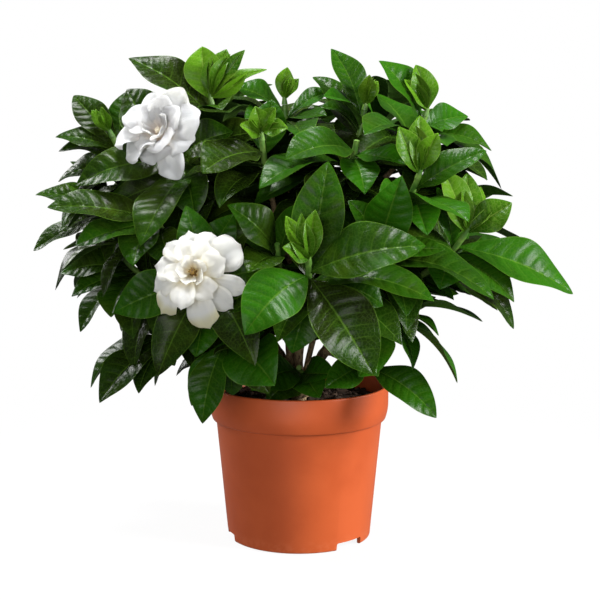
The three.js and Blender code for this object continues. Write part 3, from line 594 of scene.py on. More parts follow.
# %% Where the shoots end and their leaves reach
# name: (end, further leaves, chosen leaves (x, y, z, width, roll in degrees), young leaves)
SHOOTS = {
    "centre_front": ((6, -138, 213), 2,
        [(70, -8, 12, 40), (-38, -22, -40, 37), (39, -14, -66, 42),
         (12, 14, 62, 30), (46, 16, -28, 30), (-10, 8, -56, 28)],
        [(4, -8, 34, 14), (-16, -18, 12, 13), (-14, -2, 30, 11)]),
    "upper_centre": ((38, -72, 288), 3,
        [(-46, -28, -12, 37), (30, -22, -15, 25), (4, -34, -30, 26)],
        []),
    "right_centre": ((76, -98, 264), 3,
        [(42, -6, 18, 24), (4, -22, -34, 24), (-26, -16, -20, 24)],
        [(-13, -6, 33, 18), (1, 1, 40, 19), (12, -7, 29, 15)]),
    "middle_right": ((54, -108, 226), 2,
        [(12, -8, 45, 30), (-22, 2, 24, 22), (38, -2, -6, 20)],
        []),
    "right": ((107, -85, 225), 2,
        [(76, 18, -39, 34), (-16, 6, 32, 18), (-16, -14, -32, 26), (34, -8, -38, 24),
         (36, 14, -62, 22)],
        [(-14, -4, 44, 24), (3, 6, 42, 20), (31, -5, 23, 22), (12, 6, 33, 14)]),
    "top_right": ((85, -48, 304), 1,
        [(-31, -8, 36, 30), (29, 8, 0, 26), (44, -6, -20, 24), (8, -30, -10, 20)],
        [(-7, -2, 34, 21), (-15, -8, 24, 12)]),
    "top_centre_right": ((45, -30, 308), 3,
        [(-22, 9, 42, 24), (-20, -24, 16, 26), (-30, -12, 2, 20), (-31, 6, 30, 22)],
        [(3, -7, 24, 12), (9, 0, 20, 9)]),
    "top_middle": ((-10, -14, 312), 4,
        [(-34, -8, 12, 26), (34, 2, 14, 18), (-26, -26, -10, 26), (26, -26, -8, 26), (40, 16, -6, 26)],
        [(2, 0, 26, 13), (10, -2, 18, 10)]),
    "upper_left_centre": ((-24, -84, 288), 3,
        [(-36, -26, -20, 39), (6, 8, 26, 26)],
        [(-14, -10, 10, 13), (-4, -8, 22, 14), (9, -8, 21, 13), (17, -10, 8, 13)]),
    "top_left": ((-60, -24, 312), 3,
        [(8, -32, -4, 26), (-57, 6, 32, 34)],
        [(-7, 7, 40, 27), (10, 5, 38, 20), (23, -3, 37, 13), (38, 2, 24, 11)]),
    "under_flower_1": ((-84, -72, 283), 3,
        [(-36, 10, 42, 32), (40, 0, 10, 30), (16, -14, -44, 28), (-62, -2, -24, 32)],
        []),
    "left_upper": ((-126, -46, 290), 2,
        [(-27, 10, 32, 18), (-34, -10, 6, 22), (-8, -22, -22, 26), (4, 10, 32, 18),
         (-36, 0, -12, 22), (-37, 2, -30, 24)],
        [(-14, 0, 18, 9), (-6, -8, 20, 9)]),
    "left_middle": ((-98, -86, 244), 3,
        [(-62, -8, 10, 31), (-44, -20, -22, 28), (-8, -30, -28, 28), (18, -24, -30, 24)], []),
    "left_far": ((-144, -18, 246), 2,
        [(-40, 0, 4, 18), (-24, 4, 20, 20, 40), (-44, 8, -36, 22), (-20, -22, -20, 24)],
        [(-18, -6, 12, 9)]),
    "left_low": ((-118, -56, 208), 2,
        [(-42, -4, -9, 26), (-29, -8, -48, 27, 10), (-8, -28, -36, 30), (-30, -24, -22, 22)],
        []),
    "lower_left": ((-96, -66, 160), 0,
        [(-46, 10, -40, 22, 25), (-36, -24, -46, 23), (-10, -18, -38, 24), (12, -26, -20, 24)],
        []),
    "low_front_left": ((-50, -100, 164), 0,
        [(-12, -8, -57, 25), (-22, 6, -48, 20), (34, -20, -30, 40), (14, -28, -4, 34),
         (30, 4, -40, 22), (6, 20, -44, 22)],
        []),
    "under_flower_2": ((-64, -110, 202), 2,
        [(40, 2, 5, 34), (-54, 4, -23, 30), (-8, 6, 44, 26, 20), (22, 2, 36, 24),
         (2, 0, -51, 30)],
        []),
    "centre_left": ((-14, -98, 222), 2,
        [(-30, -16, 26, 27), (-22, -20, -26, 26), (22, -12, 26, 24)], []),
    "lower_right": ((66, -70, 180), 0,
        [(56, -2, -12, 18, -48), (26, -10, -20, 15, -45), (40, 0, -54, 18, -40), (10, 4, -46, 16, -20),
         (-8, -30, -8, 30)],
        []),
    "low_front_right": ((52, -56, 136), 0,
        [(40, -28, -21, 27), (-12, -34, -2, 24), (-34, -22, -12, 22)],
        []),
    "low_centre": ((0, -26, 128), 1,
        [(-32, -34, -9, 28), (14, -24, -16, 26), (32, -32, -8, 24), (-10, -26, -14, 26)],
        []),
    "far_right": ((128, -10, 206), 0,
        [(34, -6, -18, 22), (12, -18, -36, 22)],
        []),
    "inner_left": ((-42, -18, 252), 5, [], []),
    "inner_right": ((30, -28, 246), 5, [], []),
    "inner_low": ((-8, 6, 176), 5, [], []),
    "back_top_left": ((-66, 52, 300), 8, [], [(-4, 8, 26, 12), (4, 0, 24, 11)]),
    "back_top_right": ((62, 48, 302), 8, [], [(6, 8, 28, 13), (-4, 2, 24, 11)]),
    "back_upper": ((-4, 84, 274), 8, [], [(2, 10, 26, 13)]),
    "back_right": ((112, 56, 238), 8, [], [(10, 8, 22, 12)]),
    "back_left": ((-112, 60, 240), 8, [], []),
    "back_low_right": ((90, 78, 184), 8, [], []),
    "back_low_left": ((-86, 82, 162), 8, [], []),
    "back_middle": ((6, 102, 198), 8, [], []),
}
TOWARDS = {"under_flower_1": (-0.35, -0.72, 0.6), "under_flower_2": (-0.12, -0.95, 0.28)}
LIMBS = [
    # foot x and y, and the fork
    ((-5, -3), (-38, -24, 176)),
    ((4, -5), (34, -30, 172)),
    ((5, 3), (42, 34, 176)),
    ((-3, 5), (-36, 40, 174)),
    ((0, -1), (0, -6, 206)),
    ((1, -5), (3, -12, 117)),
]
print("shoots:", len(SHOOTS))

# %% [markdown]
# ### Curves, blades and clear air
# A branch is a Bezier curve. A leaf or a petal is a blade: a root, a reach to its tip, the way its
# upper face looks, a width and an arch. A point on a blade is found from two shares, one along it and
# one across it, so the same few lines serve for testing where a leaf fits and for its fine mesh.

# %% Directions
UP = np.array([0, 0, 1.0])
RIGHT = np.array([1.0, 0, 0])
NEARLY_UPRIGHT = 0.9


def unit(v):
    return v / np.linalg.norm(v)


def not_along(direction):
    """A direction that surely isn't that one: up, or to the right where that one is nearly upright."""
    return UP if abs(direction[2]) < NEARLY_UPRIGHT else RIGHT


def turned(v, axis, degrees):
    """v turned about an axis of length 1."""
    a = math.radians(degrees)
    return v * math.cos(a) + np.cross(axis, v) * math.sin(a) + axis * (axis @ v) * (1 - math.cos(a))


print("to the right, turned a quarter round:", turned(RIGHT, UP, 90).round(3))

# %% Curves
FORK_SINK = 1.2  # how deep a twig starts in its limb
BRANCH_OUT, BRANCH_RISE, BRANCH_EASE = 0.18, 0.2, 0.4  # shares of its span
SHOOT_LENGTH = 46  # the green part of a stem
EARLIEST_GREEN = 0.15


class Curve:
    """A Bezier curve through space with four control points."""

    def __init__(self, *controls):
        self.controls = np.array(controls, float)

    def at(self, t):
        t = np.asarray(t, float)[..., None]
        a, b, c, d = self.controls
        return (1 - t) ** 3 * a + 3 * (1 - t) ** 2 * t * b + 3 * (1 - t) * t * t * c + t ** 3 * d


class Branch(Curve):
    def __init__(self, fork, end, direction):
        self.span = np.linalg.norm(end - fork)
        out = unit(end - fork)
        super().__init__(
            fork - out * FORK_SINK,
            fork + out * BRANCH_OUT * self.span + UP * BRANCH_RISE * self.span,
            end - direction * BRANCH_EASE * self.span,
            end,
        )
        self.green_start = max(self.back(SHOOT_LENGTH), EARLIEST_GREEN)

    def back(self, distance):
        """The curve's parameter at a distance back from its end."""
        return max(0.0, 1 - distance / (3 * BRANCH_EASE * self.span))


middle = Curve((0, 0, 0), (0, 0, 1), (1, 0, 1), (1, 0, 0)).at(0.5)
print("the middle of an arc of four points:", middle)

# %% Blades
ROOT_PART, ROOT_HALF_WIDTH = 0.05, 0.9
WAVE_HEIGHT, WAVES, WAVE_SPREAD, WAVE_OFFSET = 0.07, 9, 6.3, 2


class Blade:
    def __init__(self, root, reach, facing, width, arch, seed, age=0.5):
        self.root, self.reach, self.width, self.arch, self.seed = root, reach, width, arch, seed
        self.length = np.linalg.norm(reach)
        self.along = reach / self.length
        self.normal = unit(facing - self.along * (facing @ self.along))
        self.side = np.cross(self.along, self.normal)
        self.age = age

    def at(self, t, across, outline, fold, lift=0.0, least=None):
        """Points at shares t along and across the blade, lifted off it by so many millimetres."""
        t, across = np.asarray(t, float), np.asarray(across, float)
        edge = np.abs(across)
        root_half = np.where(t < ROOT_PART, ROOT_HALF_WIDTH, 0) if least is None else least
        half = np.maximum(self.width / 2 * outline(t), root_half)
        arch = self.arch * self.length * 4 * t * (1 - t)
        phase = WAVES * t + WAVE_SPREAD * draw(self.seed) + np.where(across > 0, 0, WAVE_OFFSET)
        wave = WAVE_HEIGHT * self.width * np.sin(phase) * outline(t) * edge
        height = arch + fold * half * edge + wave + lift
        return (self.root + self.reach * t[..., None] + self.normal * height[..., None]
                + self.side * (half * across)[..., None])


def leaf_outline(t):
    return np.maximum(0, np.sin(math.pi * t ** 1.12)) ** 1.1


def petal_outline(t):
    return petal_swell(t) * (1 - 0.55 * t ** 7)


def petal_swell(t):
    return np.sin(math.pi / 2 * np.minimum(1, 1.3 * t)) ** 1.4


widest = np.linspace(0, 1, 101)[leaf_outline(np.linspace(0, 1, 101)).argmax()]
print("a leaf is widest at", round(float(widest), 2), "of its length")

# %% Samples of blades and stems
SAMPLE_STATIONS = np.array([1, 0.9, 0.8, 0.7, 0.6, 0.5, 0.4, 0.3, 0.2, 0.1])
SAMPLE_ACROSS = np.array([-0.95, -0.6, -0.3, 0, 0.3, 0.6, 0.95])
STEM_SAMPLE_STEP = 0.03


def samples_of(blade, outline, fold):
    t, across = np.meshgrid(SAMPLE_STATIONS, SAMPLE_ACROSS, indexing="ij")
    return blade.at(t.ravel(), across.ravel(), outline, fold)


def samples_along(curve, start):
    stations = []
    t = start
    while t <= 1:
        stations.append(t)
        t += STEM_SAMPLE_STEP
    return curve.at(np.array(stations))


print("samples of a leaf:", len(SAMPLE_STATIONS) * len(SAMPLE_ACROSS))

# %% Keeping leaves clear of each other
OUTER_SAMPLES = 7 * len(SAMPLE_ACROSS)  # of a blade's outer part
OWN_SAMPLES = 8 * len(SAMPLE_ACROSS)  # those that are clear of the stem it grows from
LEAF_GAPS = (5.2, 3.4, 3)  # to other shoots, to the own tuft or flower, to the own leaves
RIM_INSIDE, RIM_OUTSIDE, RIM_ABOVE, SOIL_ABOVE = 9, 4, 3, 5

placed = []
placed_boxes = np.zeros((0, 6))


def place(node, shoot, points):
    global placed_boxes
    placed.append((node, shoot, points))
    placed_boxes = np.vstack([placed_boxes, [*points.min(0), *points.max(0)]])


def apart(some, others, gap):
    away = some[:, None, :] - others[None, :, :]
    return bool(((away ** 2).sum(-1) > gap * gap).all())


def hits_pot(points):
    r = np.hypot(points[:, 0], points[:, 1])
    over_soil = (r < RIM_RADIUS - RIM_INSIDE) & (points[:, 2] > SOIL_LEVEL + SOIL_ABOVE)
    near_rim = (r < RIM_RADIUS + RIM_OUTSIDE) & (points[:, 2] < POT_HEIGHT + RIM_ABOVE)
    return bool((~over_soil & near_rim).any())


def is_clear(shoot, points, gaps):
    if hits_pot(points):
        return False
    low, high = points.min(0) - gaps[0], points.max(0) + gaps[0]
    near = ((placed_boxes[:, :3] <= high) & (placed_boxes[:, 3:] >= low)).all(1)
    for index in np.flatnonzero(near):
        node, its_shoot, others = placed[index]
        if its_shoot != shoot:
            clear = apart(points, others, gaps[0])
        elif node != shoot:
            clear = apart(points[:OWN_SAMPLES], others, gaps[1])
        else:
            clear = apart(points[:OUTER_SAMPLES], others[:OUTER_SAMPLES], gaps[2])
        if not clear:
            return False
    return True


print("air between two shoots' leaves:", LEAF_GAPS[0], "mm")

# %% [markdown]
# ### Growing it
# Limbs first, then the branches that fork from the nearest limb, then flowers, tufts of young leaves,
# the leaves chosen from the photo, and last the whorls that fill the shrub. A leaf that has no room
# is lifted and turned a little, and left out where nothing helps, as on a crowded real shoot.

# %% Grow the branches
CROWN_CENTRE = np.array([0, 10, 130.0])  # what the shoots grow away from
LIMB_START = SOIL_LEVEL + 3
LIMB_EASE = 0.35  # how long a limb rises straight at each end, as a share of its height
FORK_STEP = 0.11  # how much lower each further twig leaves its limb
SHOOT_UPRIGHT = 0.55
FACE_UP = 0.45


class Limb:
    def __init__(self, foot, fork):
        start, end = np.array([*foot, LIMB_START], float), np.array(fork, float)
        ease = UP * LIMB_EASE * (end[2] - start[2])
        self.path = Curve(start, start + ease, end - ease, end)
        self.fork = end
        self.twigs = 0


class Shoot:
    def __init__(self, name):
        end, self.more, self.chosen, self.young = SHOOTS[name]
        self.name = name
        self.end = np.array(end, float)
        if name in TOWARDS:
            self.direction = unit(np.array(TOWARDS[name], float))
        else:
            self.direction = unit(unit(self.end - CROWN_CENTRE) + UP * SHOOT_UPRIGHT)
        limb = min(limbs, key=lambda one: np.linalg.norm(one.fork - self.end))
        self.branch = Branch(limb.path.at(1 - FORK_STEP * limb.twigs), self.end, self.direction)
        limb.twigs += 1
        self.facing = self.direction + UP * FACE_UP
        self.leaves, self.tuft = [], []
        place("wood", name, samples_along(self.branch, EARLIEST_GREEN))


limbs = [Limb(*row) for row in LIMBS]
shoots = {name: Shoot(name) for name in SHOOTS}
for limb in limbs:
    place("wood", "wood", samples_along(limb.path, 0))
print("twigs on each limb:", [limb.twigs for limb in limbs])

# %% Set out the petals
# A petal is (clock, lean, length, width): degrees round the flower's axis, degrees out from that
# axis, and millimetres. The rings go from the outside in. name: (its shoot, first seed, rings)
FLOWERS = {
    "flower_1": ("under_flower_1", 11, [
        [(8, 80, 32, 25), (338, 62, 30, 22), (36, 84, 26, 28), (66, 86, 17, 26), (92, 80, 19, 26),
         (125, 93, 33, 20), (160, 72, 28, 22), (192, 62, 33, 26), (235, 50, 34, 22), (285, 42, 29, 20)],
        [(0, 52, 22, 18), (60, 60, 18, 20), (128, 56, 20, 20), (205, 44, 25, 18), (252, 34, 27, 17),
         (306, 32, 24, 16)],
        [(20, 28, 14, 11), (325, 25, 18, 11), (270, 25, 19, 11), (210, 26, 17, 11), (120, 32, 13, 12)],
    ]),
    "flower_2": ("under_flower_2", 29, [
        [(280, 82, 26, 17), (249, 80, 26, 17), (213, 84, 32, 25), (165, 88, 34, 14), (139, 88, 31, 16),
         (107, 86, 34, 21), (52, 86, 31, 18), (24, 84, 26, 18), (350, 80, 24, 22), (314, 82, 25, 16)],
        [(78, 62, 26, 18), (10, 58, 19, 14), (200, 60, 23, 19), (290, 58, 21, 17), (244, 60, 22, 17),
         (130, 62, 22, 17)],
        [(0, 36, 13, 11), (75, 34, 13, 11), (145, 36, 13, 11), (218, 34, 13, 11), (290, 36, 13, 11)],
    ]),
}
PETAL_RINGS = [(0.16, 1), (0.12, 2.8), (0.02, 4.6)]  # curl and rise of each ring
PETAL_FOLD = 0.1
PETAL_TWIST = 15  # degrees, so that one edge lies under its neighbour
PETAL_ROOT_OUT = 2.3
RING_SEEDS = 13  # from one ring's first seed to the next
CALYX_LENGTH = 9


def petals_of(name):
    """A flower's seat and axis, and the blades of its petals."""
    shoot_name, first_seed, rings = FLOWERS[name]
    shoot = shoots[shoot_name]
    axis = shoot.direction
    seat = shoot.end + axis * (CALYX_LENGTH + GAP)
    across = unit(np.cross(axis, UP))
    petals = []
    for tier, (ring, (curl, rise)) in enumerate(zip(rings, PETAL_RINGS)):
        for k, (clock, lean, length, width) in enumerate(ring):
            out = turned(across, axis, clock)
            root = seat + axis * rise + out * PETAL_ROOT_OUT
            reach = (axis * math.cos(math.radians(lean)) + out * math.sin(math.radians(lean))) * length
            facing = turned(axis, unit(reach), PETAL_TWIST)
            petals.append(Blade(root, reach, facing, width, curl, first_seed + RING_SEEDS * tier + k, tier))
    return seat, axis, petals


flowers = {name: petals_of(name) for name in FLOWERS}
for name, (_, _, petals) in flowers.items():
    for petal in petals:
        place(name, FLOWERS[name][0], samples_of(petal, petal_outline, PETAL_FOLD))
print("petals:", {name: len(flower[2]) for name, flower in flowers.items()})

# %% Set out the tufts
LEAF_FOLD = 0.24
TUFT_STEM_LENGTH = 3
TUFT_STEP = 1.2  # from one young leaf to the next
TUFT_ARCH, TUFT_FORWARD = 0.06, 0.9


def place_tuft(shoot):
    for order, (x, y, z, width) in enumerate(shoot.young):
        root = shoot.end + shoot.direction * (GAP + TUFT_STEM_LENGTH + TUFT_STEP * order)
        reach = shoot.end + (x, y, z) - root
        facing = shoot.direction + (0, -TUFT_FORWARD, 0)
        leaf = Blade(root, reach, facing, width, TUFT_ARCH, shoot.end[2] + order, order)
        shoot.tuft.append(leaf)
        place(shoot.name + "_tip", shoot.name, samples_of(leaf, leaf_outline, LEAF_FOLD))


for shoot in shoots.values():
    place_tuft(shoot)
print("young leaves:", sum(len(shoot.tuft) for shoot in shoots.values()))

# %% Find room for a leaf
NUDGES = [0, 5, -5, 10, -10, 15, -15, 20, -20]  # degrees that a leaf may be lifted or turned
ROOT_OUT = 1.1


def place_leaf(shoot, root, reach, facing, width, arch, seed, age,
               nudges=NUDGES, gaps=LEAF_GAPS, room=None):
    """The leaf, lifted and turned as little as it takes to be clear, or None if nothing helps."""
    side = unit(np.cross(reach, facing))
    tries = [(lift, turn) for lift in nudges for turn in nudges]
    for lift, turn in sorted(tries, key=lambda both: math.hypot(*both)):
        nudged = turned(turned(reach, side, lift), shoot.direction, turn)
        outward = unit(nudged - shoot.direction * (shoot.direction @ nudged))
        leaf = Blade(root + outward * ROOT_OUT, nudged, facing, width, arch, seed, age)
        points = samples_of(leaf, leaf_outline, LEAF_FOLD)
        if (room is None or room(points)) and is_clear(shoot.name, points, gaps):
            place(shoot.name, shoot.name, points)
            return leaf
    return None


print("ways to nudge a leaf:", len(NUDGES) ** 2)

# %% Grow the chosen leaves
FIRST_CHOSEN, CHOSEN_STEP = 8, 3.2  # down the stem
SLIMMEST = 0.44  # the least width of a grown leaf, as a share of its length
CHOSEN_LESS_UP, FACE_FORWARD = 0.2, 0.55
LEAF_ARCH, LEAF_ARCH_MORE = 0.07, 0.09


def chosen_leaf(shoot, order):
    x, y, z, width, *roll = shoot.chosen[order]
    seed = shoot.end[0] * 0.37 + shoot.end[2] * 0.11 + order
    root = shoot.branch.at(shoot.branch.back(FIRST_CHOSEN + CHOSEN_STEP * order))
    reach = shoot.end + (x, y, z) - root
    facing = shoot.facing - UP * CHOSEN_LESS_UP + (0, -FACE_FORWARD, 0)
    facing = turned(facing, unit(reach), roll[0] if roll else 0)
    width = max(width, SLIMMEST * np.linalg.norm(reach))
    arch = LEAF_ARCH + LEAF_ARCH_MORE * draw(seed)
    return place_leaf(shoot, root, reach, facing, width, arch, seed, order)


def grow(make, count):
    """Adds count(shoot) leaves to every shoot, one after the other."""
    for shoot in shoots.values():
        for order in range(count(shoot)):
            leaf = make(shoot, order)
            if leaf:
                shoot.leaves.append(leaf)
    return sum(len(shoot.leaves) for shoot in shoots.values())


print("chosen leaves:", grow(chosen_leaf, lambda shoot: len(shoot.chosen)))

# %% Grow the whorls
WHORL_SIZE, WHORL_TURN = 3, 60
FIRST_WHORL, WHORL_STEP, WHORL_STAGGER = 7, 11, 2  # down the stem
TIERS_CHOSEN = 1.4  # what the chosen leaves take up
WHORL_LENGTH, WHORL_LONGER, WHORL_LONGEST, WHORL_LENGTH_SPREAD = 66, 6, 2, 7
WHORL_WIDTH, WHORL_WIDTH_SPREAD = 0.47, 0.05
WHORL_LEAN, WHORL_LEAN_STEP, WHORL_LEAN_MOST = 58, 13, 105
WHORL_DROOP, WHORL_SCATTER, GOLDEN_ANGLE = 0.14, 12, 137.5


def whorl_leaf(shoot, order):
    seed = shoot.end[0] * 0.53 + shoot.end[1] * 0.29 + 17 * order
    spot = order % WHORL_SIZE
    tier = order // WHORL_SIZE + (TIERS_CHOSEN if shoot.chosen else 0)
    back = FIRST_WHORL + WHORL_STEP * tier + WHORL_STAGGER * spot
    across = unit(np.cross(shoot.direction, not_along(shoot.direction)))
    length = WHORL_LENGTH + WHORL_LONGER * min(tier, WHORL_LONGEST) + spread(seed + 1, WHORL_LENGTH_SPREAD)
    width = length * (WHORL_WIDTH + spread(seed + 2, WHORL_WIDTH_SPREAD))
    start = GOLDEN_ANGLE * draw(shoot.end[0]) + spread(seed + 3, WHORL_SCATTER)
    clock = 360 / WHORL_SIZE * spot + WHORL_TURN * tier + start
    lean = math.radians(min(WHORL_LEAN + WHORL_LEAN_STEP * tier, WHORL_LEAN_MOST))
    reach = turned(across, shoot.direction, clock) * math.sin(lean) + shoot.direction * math.cos(lean)
    reach = reach * length - UP * WHORL_DROOP * length
    arch = LEAF_ARCH + LEAF_ARCH_MORE * draw(seed + 4)
    root = shoot.branch.at(shoot.branch.back(back))
    return place_leaf(shoot, root, reach, shoot.facing, width, arch, seed, 3 + 2 * tier)


grown = grow(whorl_leaf, lambda shoot: shoot.more)
print("with the whorls:", grown)

# %% [markdown]
# ### Leaves in the shade
# Behind the leaves that show, a real shrub is full of older ones, and it is these that close the
# view through it and make its depths almost black. The frame holds them only where it has room for
# thick blades. Fine blades fit closer together, so more leaves are tried on every stem here, further
# down it and with less air round each leaf. None of them may stand out of the crown, and none hangs
# under its lower edge, where the photo shows bare stems and daylight. They have fewer faces, because
# nobody sees them close by.

# %% Fill the shrub
SHADE_ORDERS = 38  # leaves to try on each shoot
SHADE_GAPS = (2.6, 2.6, 2.0)
SHADE_NUDGES = [0, 12, -12, 24, -24]
SHADE_FIRST, SHADE_FIRST_BEHIND_CHOSEN, SHADE_STEP = 6, 18, 2.6  # down the stem
SHADE_LENGTH, SHADE_SPREAD = 58, 8
SHADE_WIDTH = 0.48
SHADE_LEAN, SHADE_LEAN_SPREAD = 78, 34
SHADE_LOWEST = [(-30, 117), (-20, 157), (34, 157), (42, 134), (70, 134), (78, 172)]  # x, least height
SHADE_OVER, SHADE_OVER_TOP, TOP = 3, 15, 290  # how far they may stand out, and above which end more
SHADE_AGE = 9


def shade_leaf(shoot, order):
    seed = shoot.end[0] * 0.71 + shoot.end[2] * 0.23 + 5.3 * order
    across = unit(np.cross(shoot.direction, not_along(shoot.direction)))
    length = SHADE_LENGTH + spread(seed + 1, SHADE_SPREAD)
    lean = math.radians(SHADE_LEAN + spread(seed + 2, SHADE_LEAN_SPREAD))
    reach = turned(across, shoot.direction, GOLDEN_ANGLE * order + 360 * draw(shoot.end[0] + 0.5))
    reach = reach * math.sin(lean) + shoot.direction * math.cos(lean)
    reach = reach * length - UP * WHORL_DROOP * length
    first = SHADE_FIRST_BEHIND_CHOSEN if shoot.chosen else SHADE_FIRST
    root = shoot.branch.at(shoot.branch.back(first + SHADE_STEP * order))
    arch = LEAF_ARCH + LEAF_ARCH_MORE * draw(seed + 4)
    width = SHADE_WIDTH * length
    room = functools.partial(in_the_shade, shoot)
    return place_leaf(shoot, root, reach, shoot.facing, width, arch, seed, SHADE_AGE,
                      SHADE_NUDGES, SHADE_GAPS, room)


def in_the_shade(shoot, points):
    """Whether a leaf stays under the crown's surface and above its lower edge."""
    depth = np.linalg.norm(shoot.end - CROWN_CENTRE) - np.linalg.norm(points - CROWN_CENTRE, axis=1)
    over = SHADE_OVER_TOP if shoot.end[2] > TOP else SHADE_OVER
    lowest = np.interp(points[:, 0], *np.array(SHADE_LOWEST).T)
    return bool((depth > -over).all() and (points[:, 2] > lowest).all())


print("leaves in the shade:", grow(shade_leaf, lambda shoot: SHADE_ORDERS) - grown)

# %% [markdown]
# ## The stems
# Old wood is thin, light brown and slightly knobbly, and the last hand width of each stem is green
# and smooth. Each is a tube along its branch with a few noise lumps and a swollen ring where a pair
# of leaves once sat. Blender's curves could bevel a tube too, but only a mesh can carry the rings.

# %% Draw a stem
KNOT_STEP, KNOT_LENGTH = 13.0, 1.3  # from one swollen ring to the next, and how long one is


def stem(curve, start, end, radii, rings, sides, lumps=0.0, knots=0.0, seed=0):
    """Points and faces of a tapering tube along a curve, closed at both ends."""
    stations = np.linspace(start, end, rings + 1)
    centres = curve.at(stations)
    tangents = np.gradient(centres, axis=0)
    side = not_along(unit(tangents[0]))
    travelled = np.concatenate([[0], np.cumsum(np.linalg.norm(np.diff(centres, axis=0), axis=1))])
    turns = np.arange(sides) * 2 * math.pi / sides
    points = []
    for centre, tangent, far, share in zip(centres, tangents, travelled, np.linspace(0, 1, rings + 1)):
        along = unit(tangent)
        side = unit(side - along * (side @ along))
        other = np.cross(along, side)
        radius = radii[0] + (radii[1] - radii[0]) * share
        ring = knots * math.exp(-((far % KNOT_STEP - KNOT_STEP / 2) / KNOT_LENGTH) ** 2)
        for a in turns:
            out = side * math.cos(a) + other * math.sin(a)
            rough = lumps * noise.noise(Vector(centre * 0.35 + out * 0.8 + seed))
            points.append(centre + out * (radius * (1 + rough) + ring))
    faces = []
    for i in range(rings):
        for k in range(sides):
            n = (k + 1) % sides
            faces.append([i * sides + k, i * sides + n, (i + 1) * sides + n, (i + 1) * sides + k])
    faces.append(list(range(sides))[::-1])
    faces.append(list(range(rings * sides, (rings + 1) * sides)))
    return np.array(points), faces


class Line:
    """A straight path."""

    def __init__(self, start, direction, length):
        self.start, self.step = start, direction * length

    def at(self, t):
        return self.start + self.step * np.asarray(t, float)[..., None]


print("points of a plain stem:", len(stem(Line(UP, UP, 10), 0, 1, (1, 1), 4, 6)[0]))

# %% [markdown]
# The bark is dull, with lighter and darker patches and dark fibres along the stem. The fibres are a
# noise that is stretched by squeezing its coordinates in height, and the same noise is the bump.

# %% Grow the wood
BARK_DARK, BARK_LIGHT, BARK_FIBRE = (0.19, 0.125, 0.062), (0.33, 0.24, 0.13), (0.10, 0.065, 0.035)
CROWN_FOOT, CROWN_RADII, CROWN_LENGTH = STEM_HOLE_BOTTOM + GAP, (7, 5.6), 31
LIMB_RADII, TWIG_RADII = (3.2, 2.72), (2.24, 1.9)

bark = Finish("light_brown_bark", Roughness=0.8, Specular_IOR_Level=0.25)
bark_place = bark.add("Mapping", Vector=bark.place(), Scale=(1, 1, 0.25))
bark_fibre = bark.noise(900.0, 4.0, bark_place.outputs[0])
bark_base = bark.between(bark.band(bark.noise(90.0, 3.0), 0.35, 0.65), BARK_DARK, BARK_LIGHT)
bark_colour = bark.between(bark.band(bark_fibre, 0.55, 0.35), bark_base, BARK_FIBRE)
bark.paint(bark_colour, bark.bump(bark_fibre, 0.0005, 0.8))

wood_shape = Shape()
crown = Line(CROWN_FOOT * UP, UP, CROWN_LENGTH)
wood_shape.add(*stem(crown, 0, 1, CROWN_RADII, 12, 20, 0.16, 0.0, 1))
for k, limb in enumerate(limbs):
    wood_shape.add(*stem(limb.path, 0, 1, LIMB_RADII, 26, 12, 0.14, 0.35, k))
for k, shoot in enumerate(shoots.values()):
    twig_end = shoot.branch.green_start
    wood_shape.add(*stem(shoot.branch, 0, twig_end, TWIG_RADII, 16, 10, 0.12, 0.3, 10 + k))
wood = make_piece("woody_stems", wood_shape, [bark], "wood", "wood")
print("wood faces:", len(wood.data.polygons))

# %% [markdown]
# ## A gardenia leaf
# The leaf is elliptic with a short point, smooth at its margin, glossy and softly quilted: the side
# veins sink into the upper face and the blade swells between them. Under a soft box each swelling
# carries its own streak of light, and those streaks are what makes the leaf read as a gardenia. A
# bump map can't give them their shape, so the veins are in the mesh. Its rows don't run straight
# across: each one bends forward from the midrib to the margin as a vein does, and every fifth row
# lies in a vein. The blade is closed and thin, with a midrib that is a groove above and a rib below.

# %% Shape a leaf
VEINS = 9
LEAF_COLUMNS = np.array([-1, -0.93, -0.76, -0.52, -0.28, -0.09, 0, 0.09, 0.28, 0.52, 0.76, 0.93, 1])
SHADE_COLUMNS = np.array([-1, -0.7, -0.3, 0, 0.3, 0.7, 1])
ROWS_PER_VEIN, SHADE_ROWS_PER_VEIN = 5, 2
VEIN_LEAN = 0.15  # how far forward a vein meets the margin, as a share of the leaf's length
QUILT = 0.0125  # how far the blade swells between veins, as a share of its length
BULGE = 0.4  # how far each half of the blade is rounded upwards instead of flat
BEND = 0.05  # how far a leaf bends sideways, as a share of its length
TWIST = 0.13
PETIOLE_END = 0.1
FULLNESS = 0.86
QUILT_LEVEL = 0.6  # how much of a swelling lies under the blade's plain surface
GROOVE_DEPTH, GROOVE_WIDTH = 0.45, 0.1  # of the midrib above
RIB_DEPTH, RIB_WIDTH = 0.5, 0.09  # and below
HALF_THICK, MARGIN_THINNER, PETIOLE_THICK = 0.40, 0.26, 0.75


def fine_outline(t):
    """The frame's leaf outline with fuller ends, as the real blades have."""
    return np.maximum(0, np.sin(math.pi * t ** 1.1)) ** FULLNESS


def grid(rows, columns):
    """The share along a blade and the place across it, for every row and column."""
    return np.meshgrid(np.linspace(0, 1, rows + 1), columns, indexing="ij")


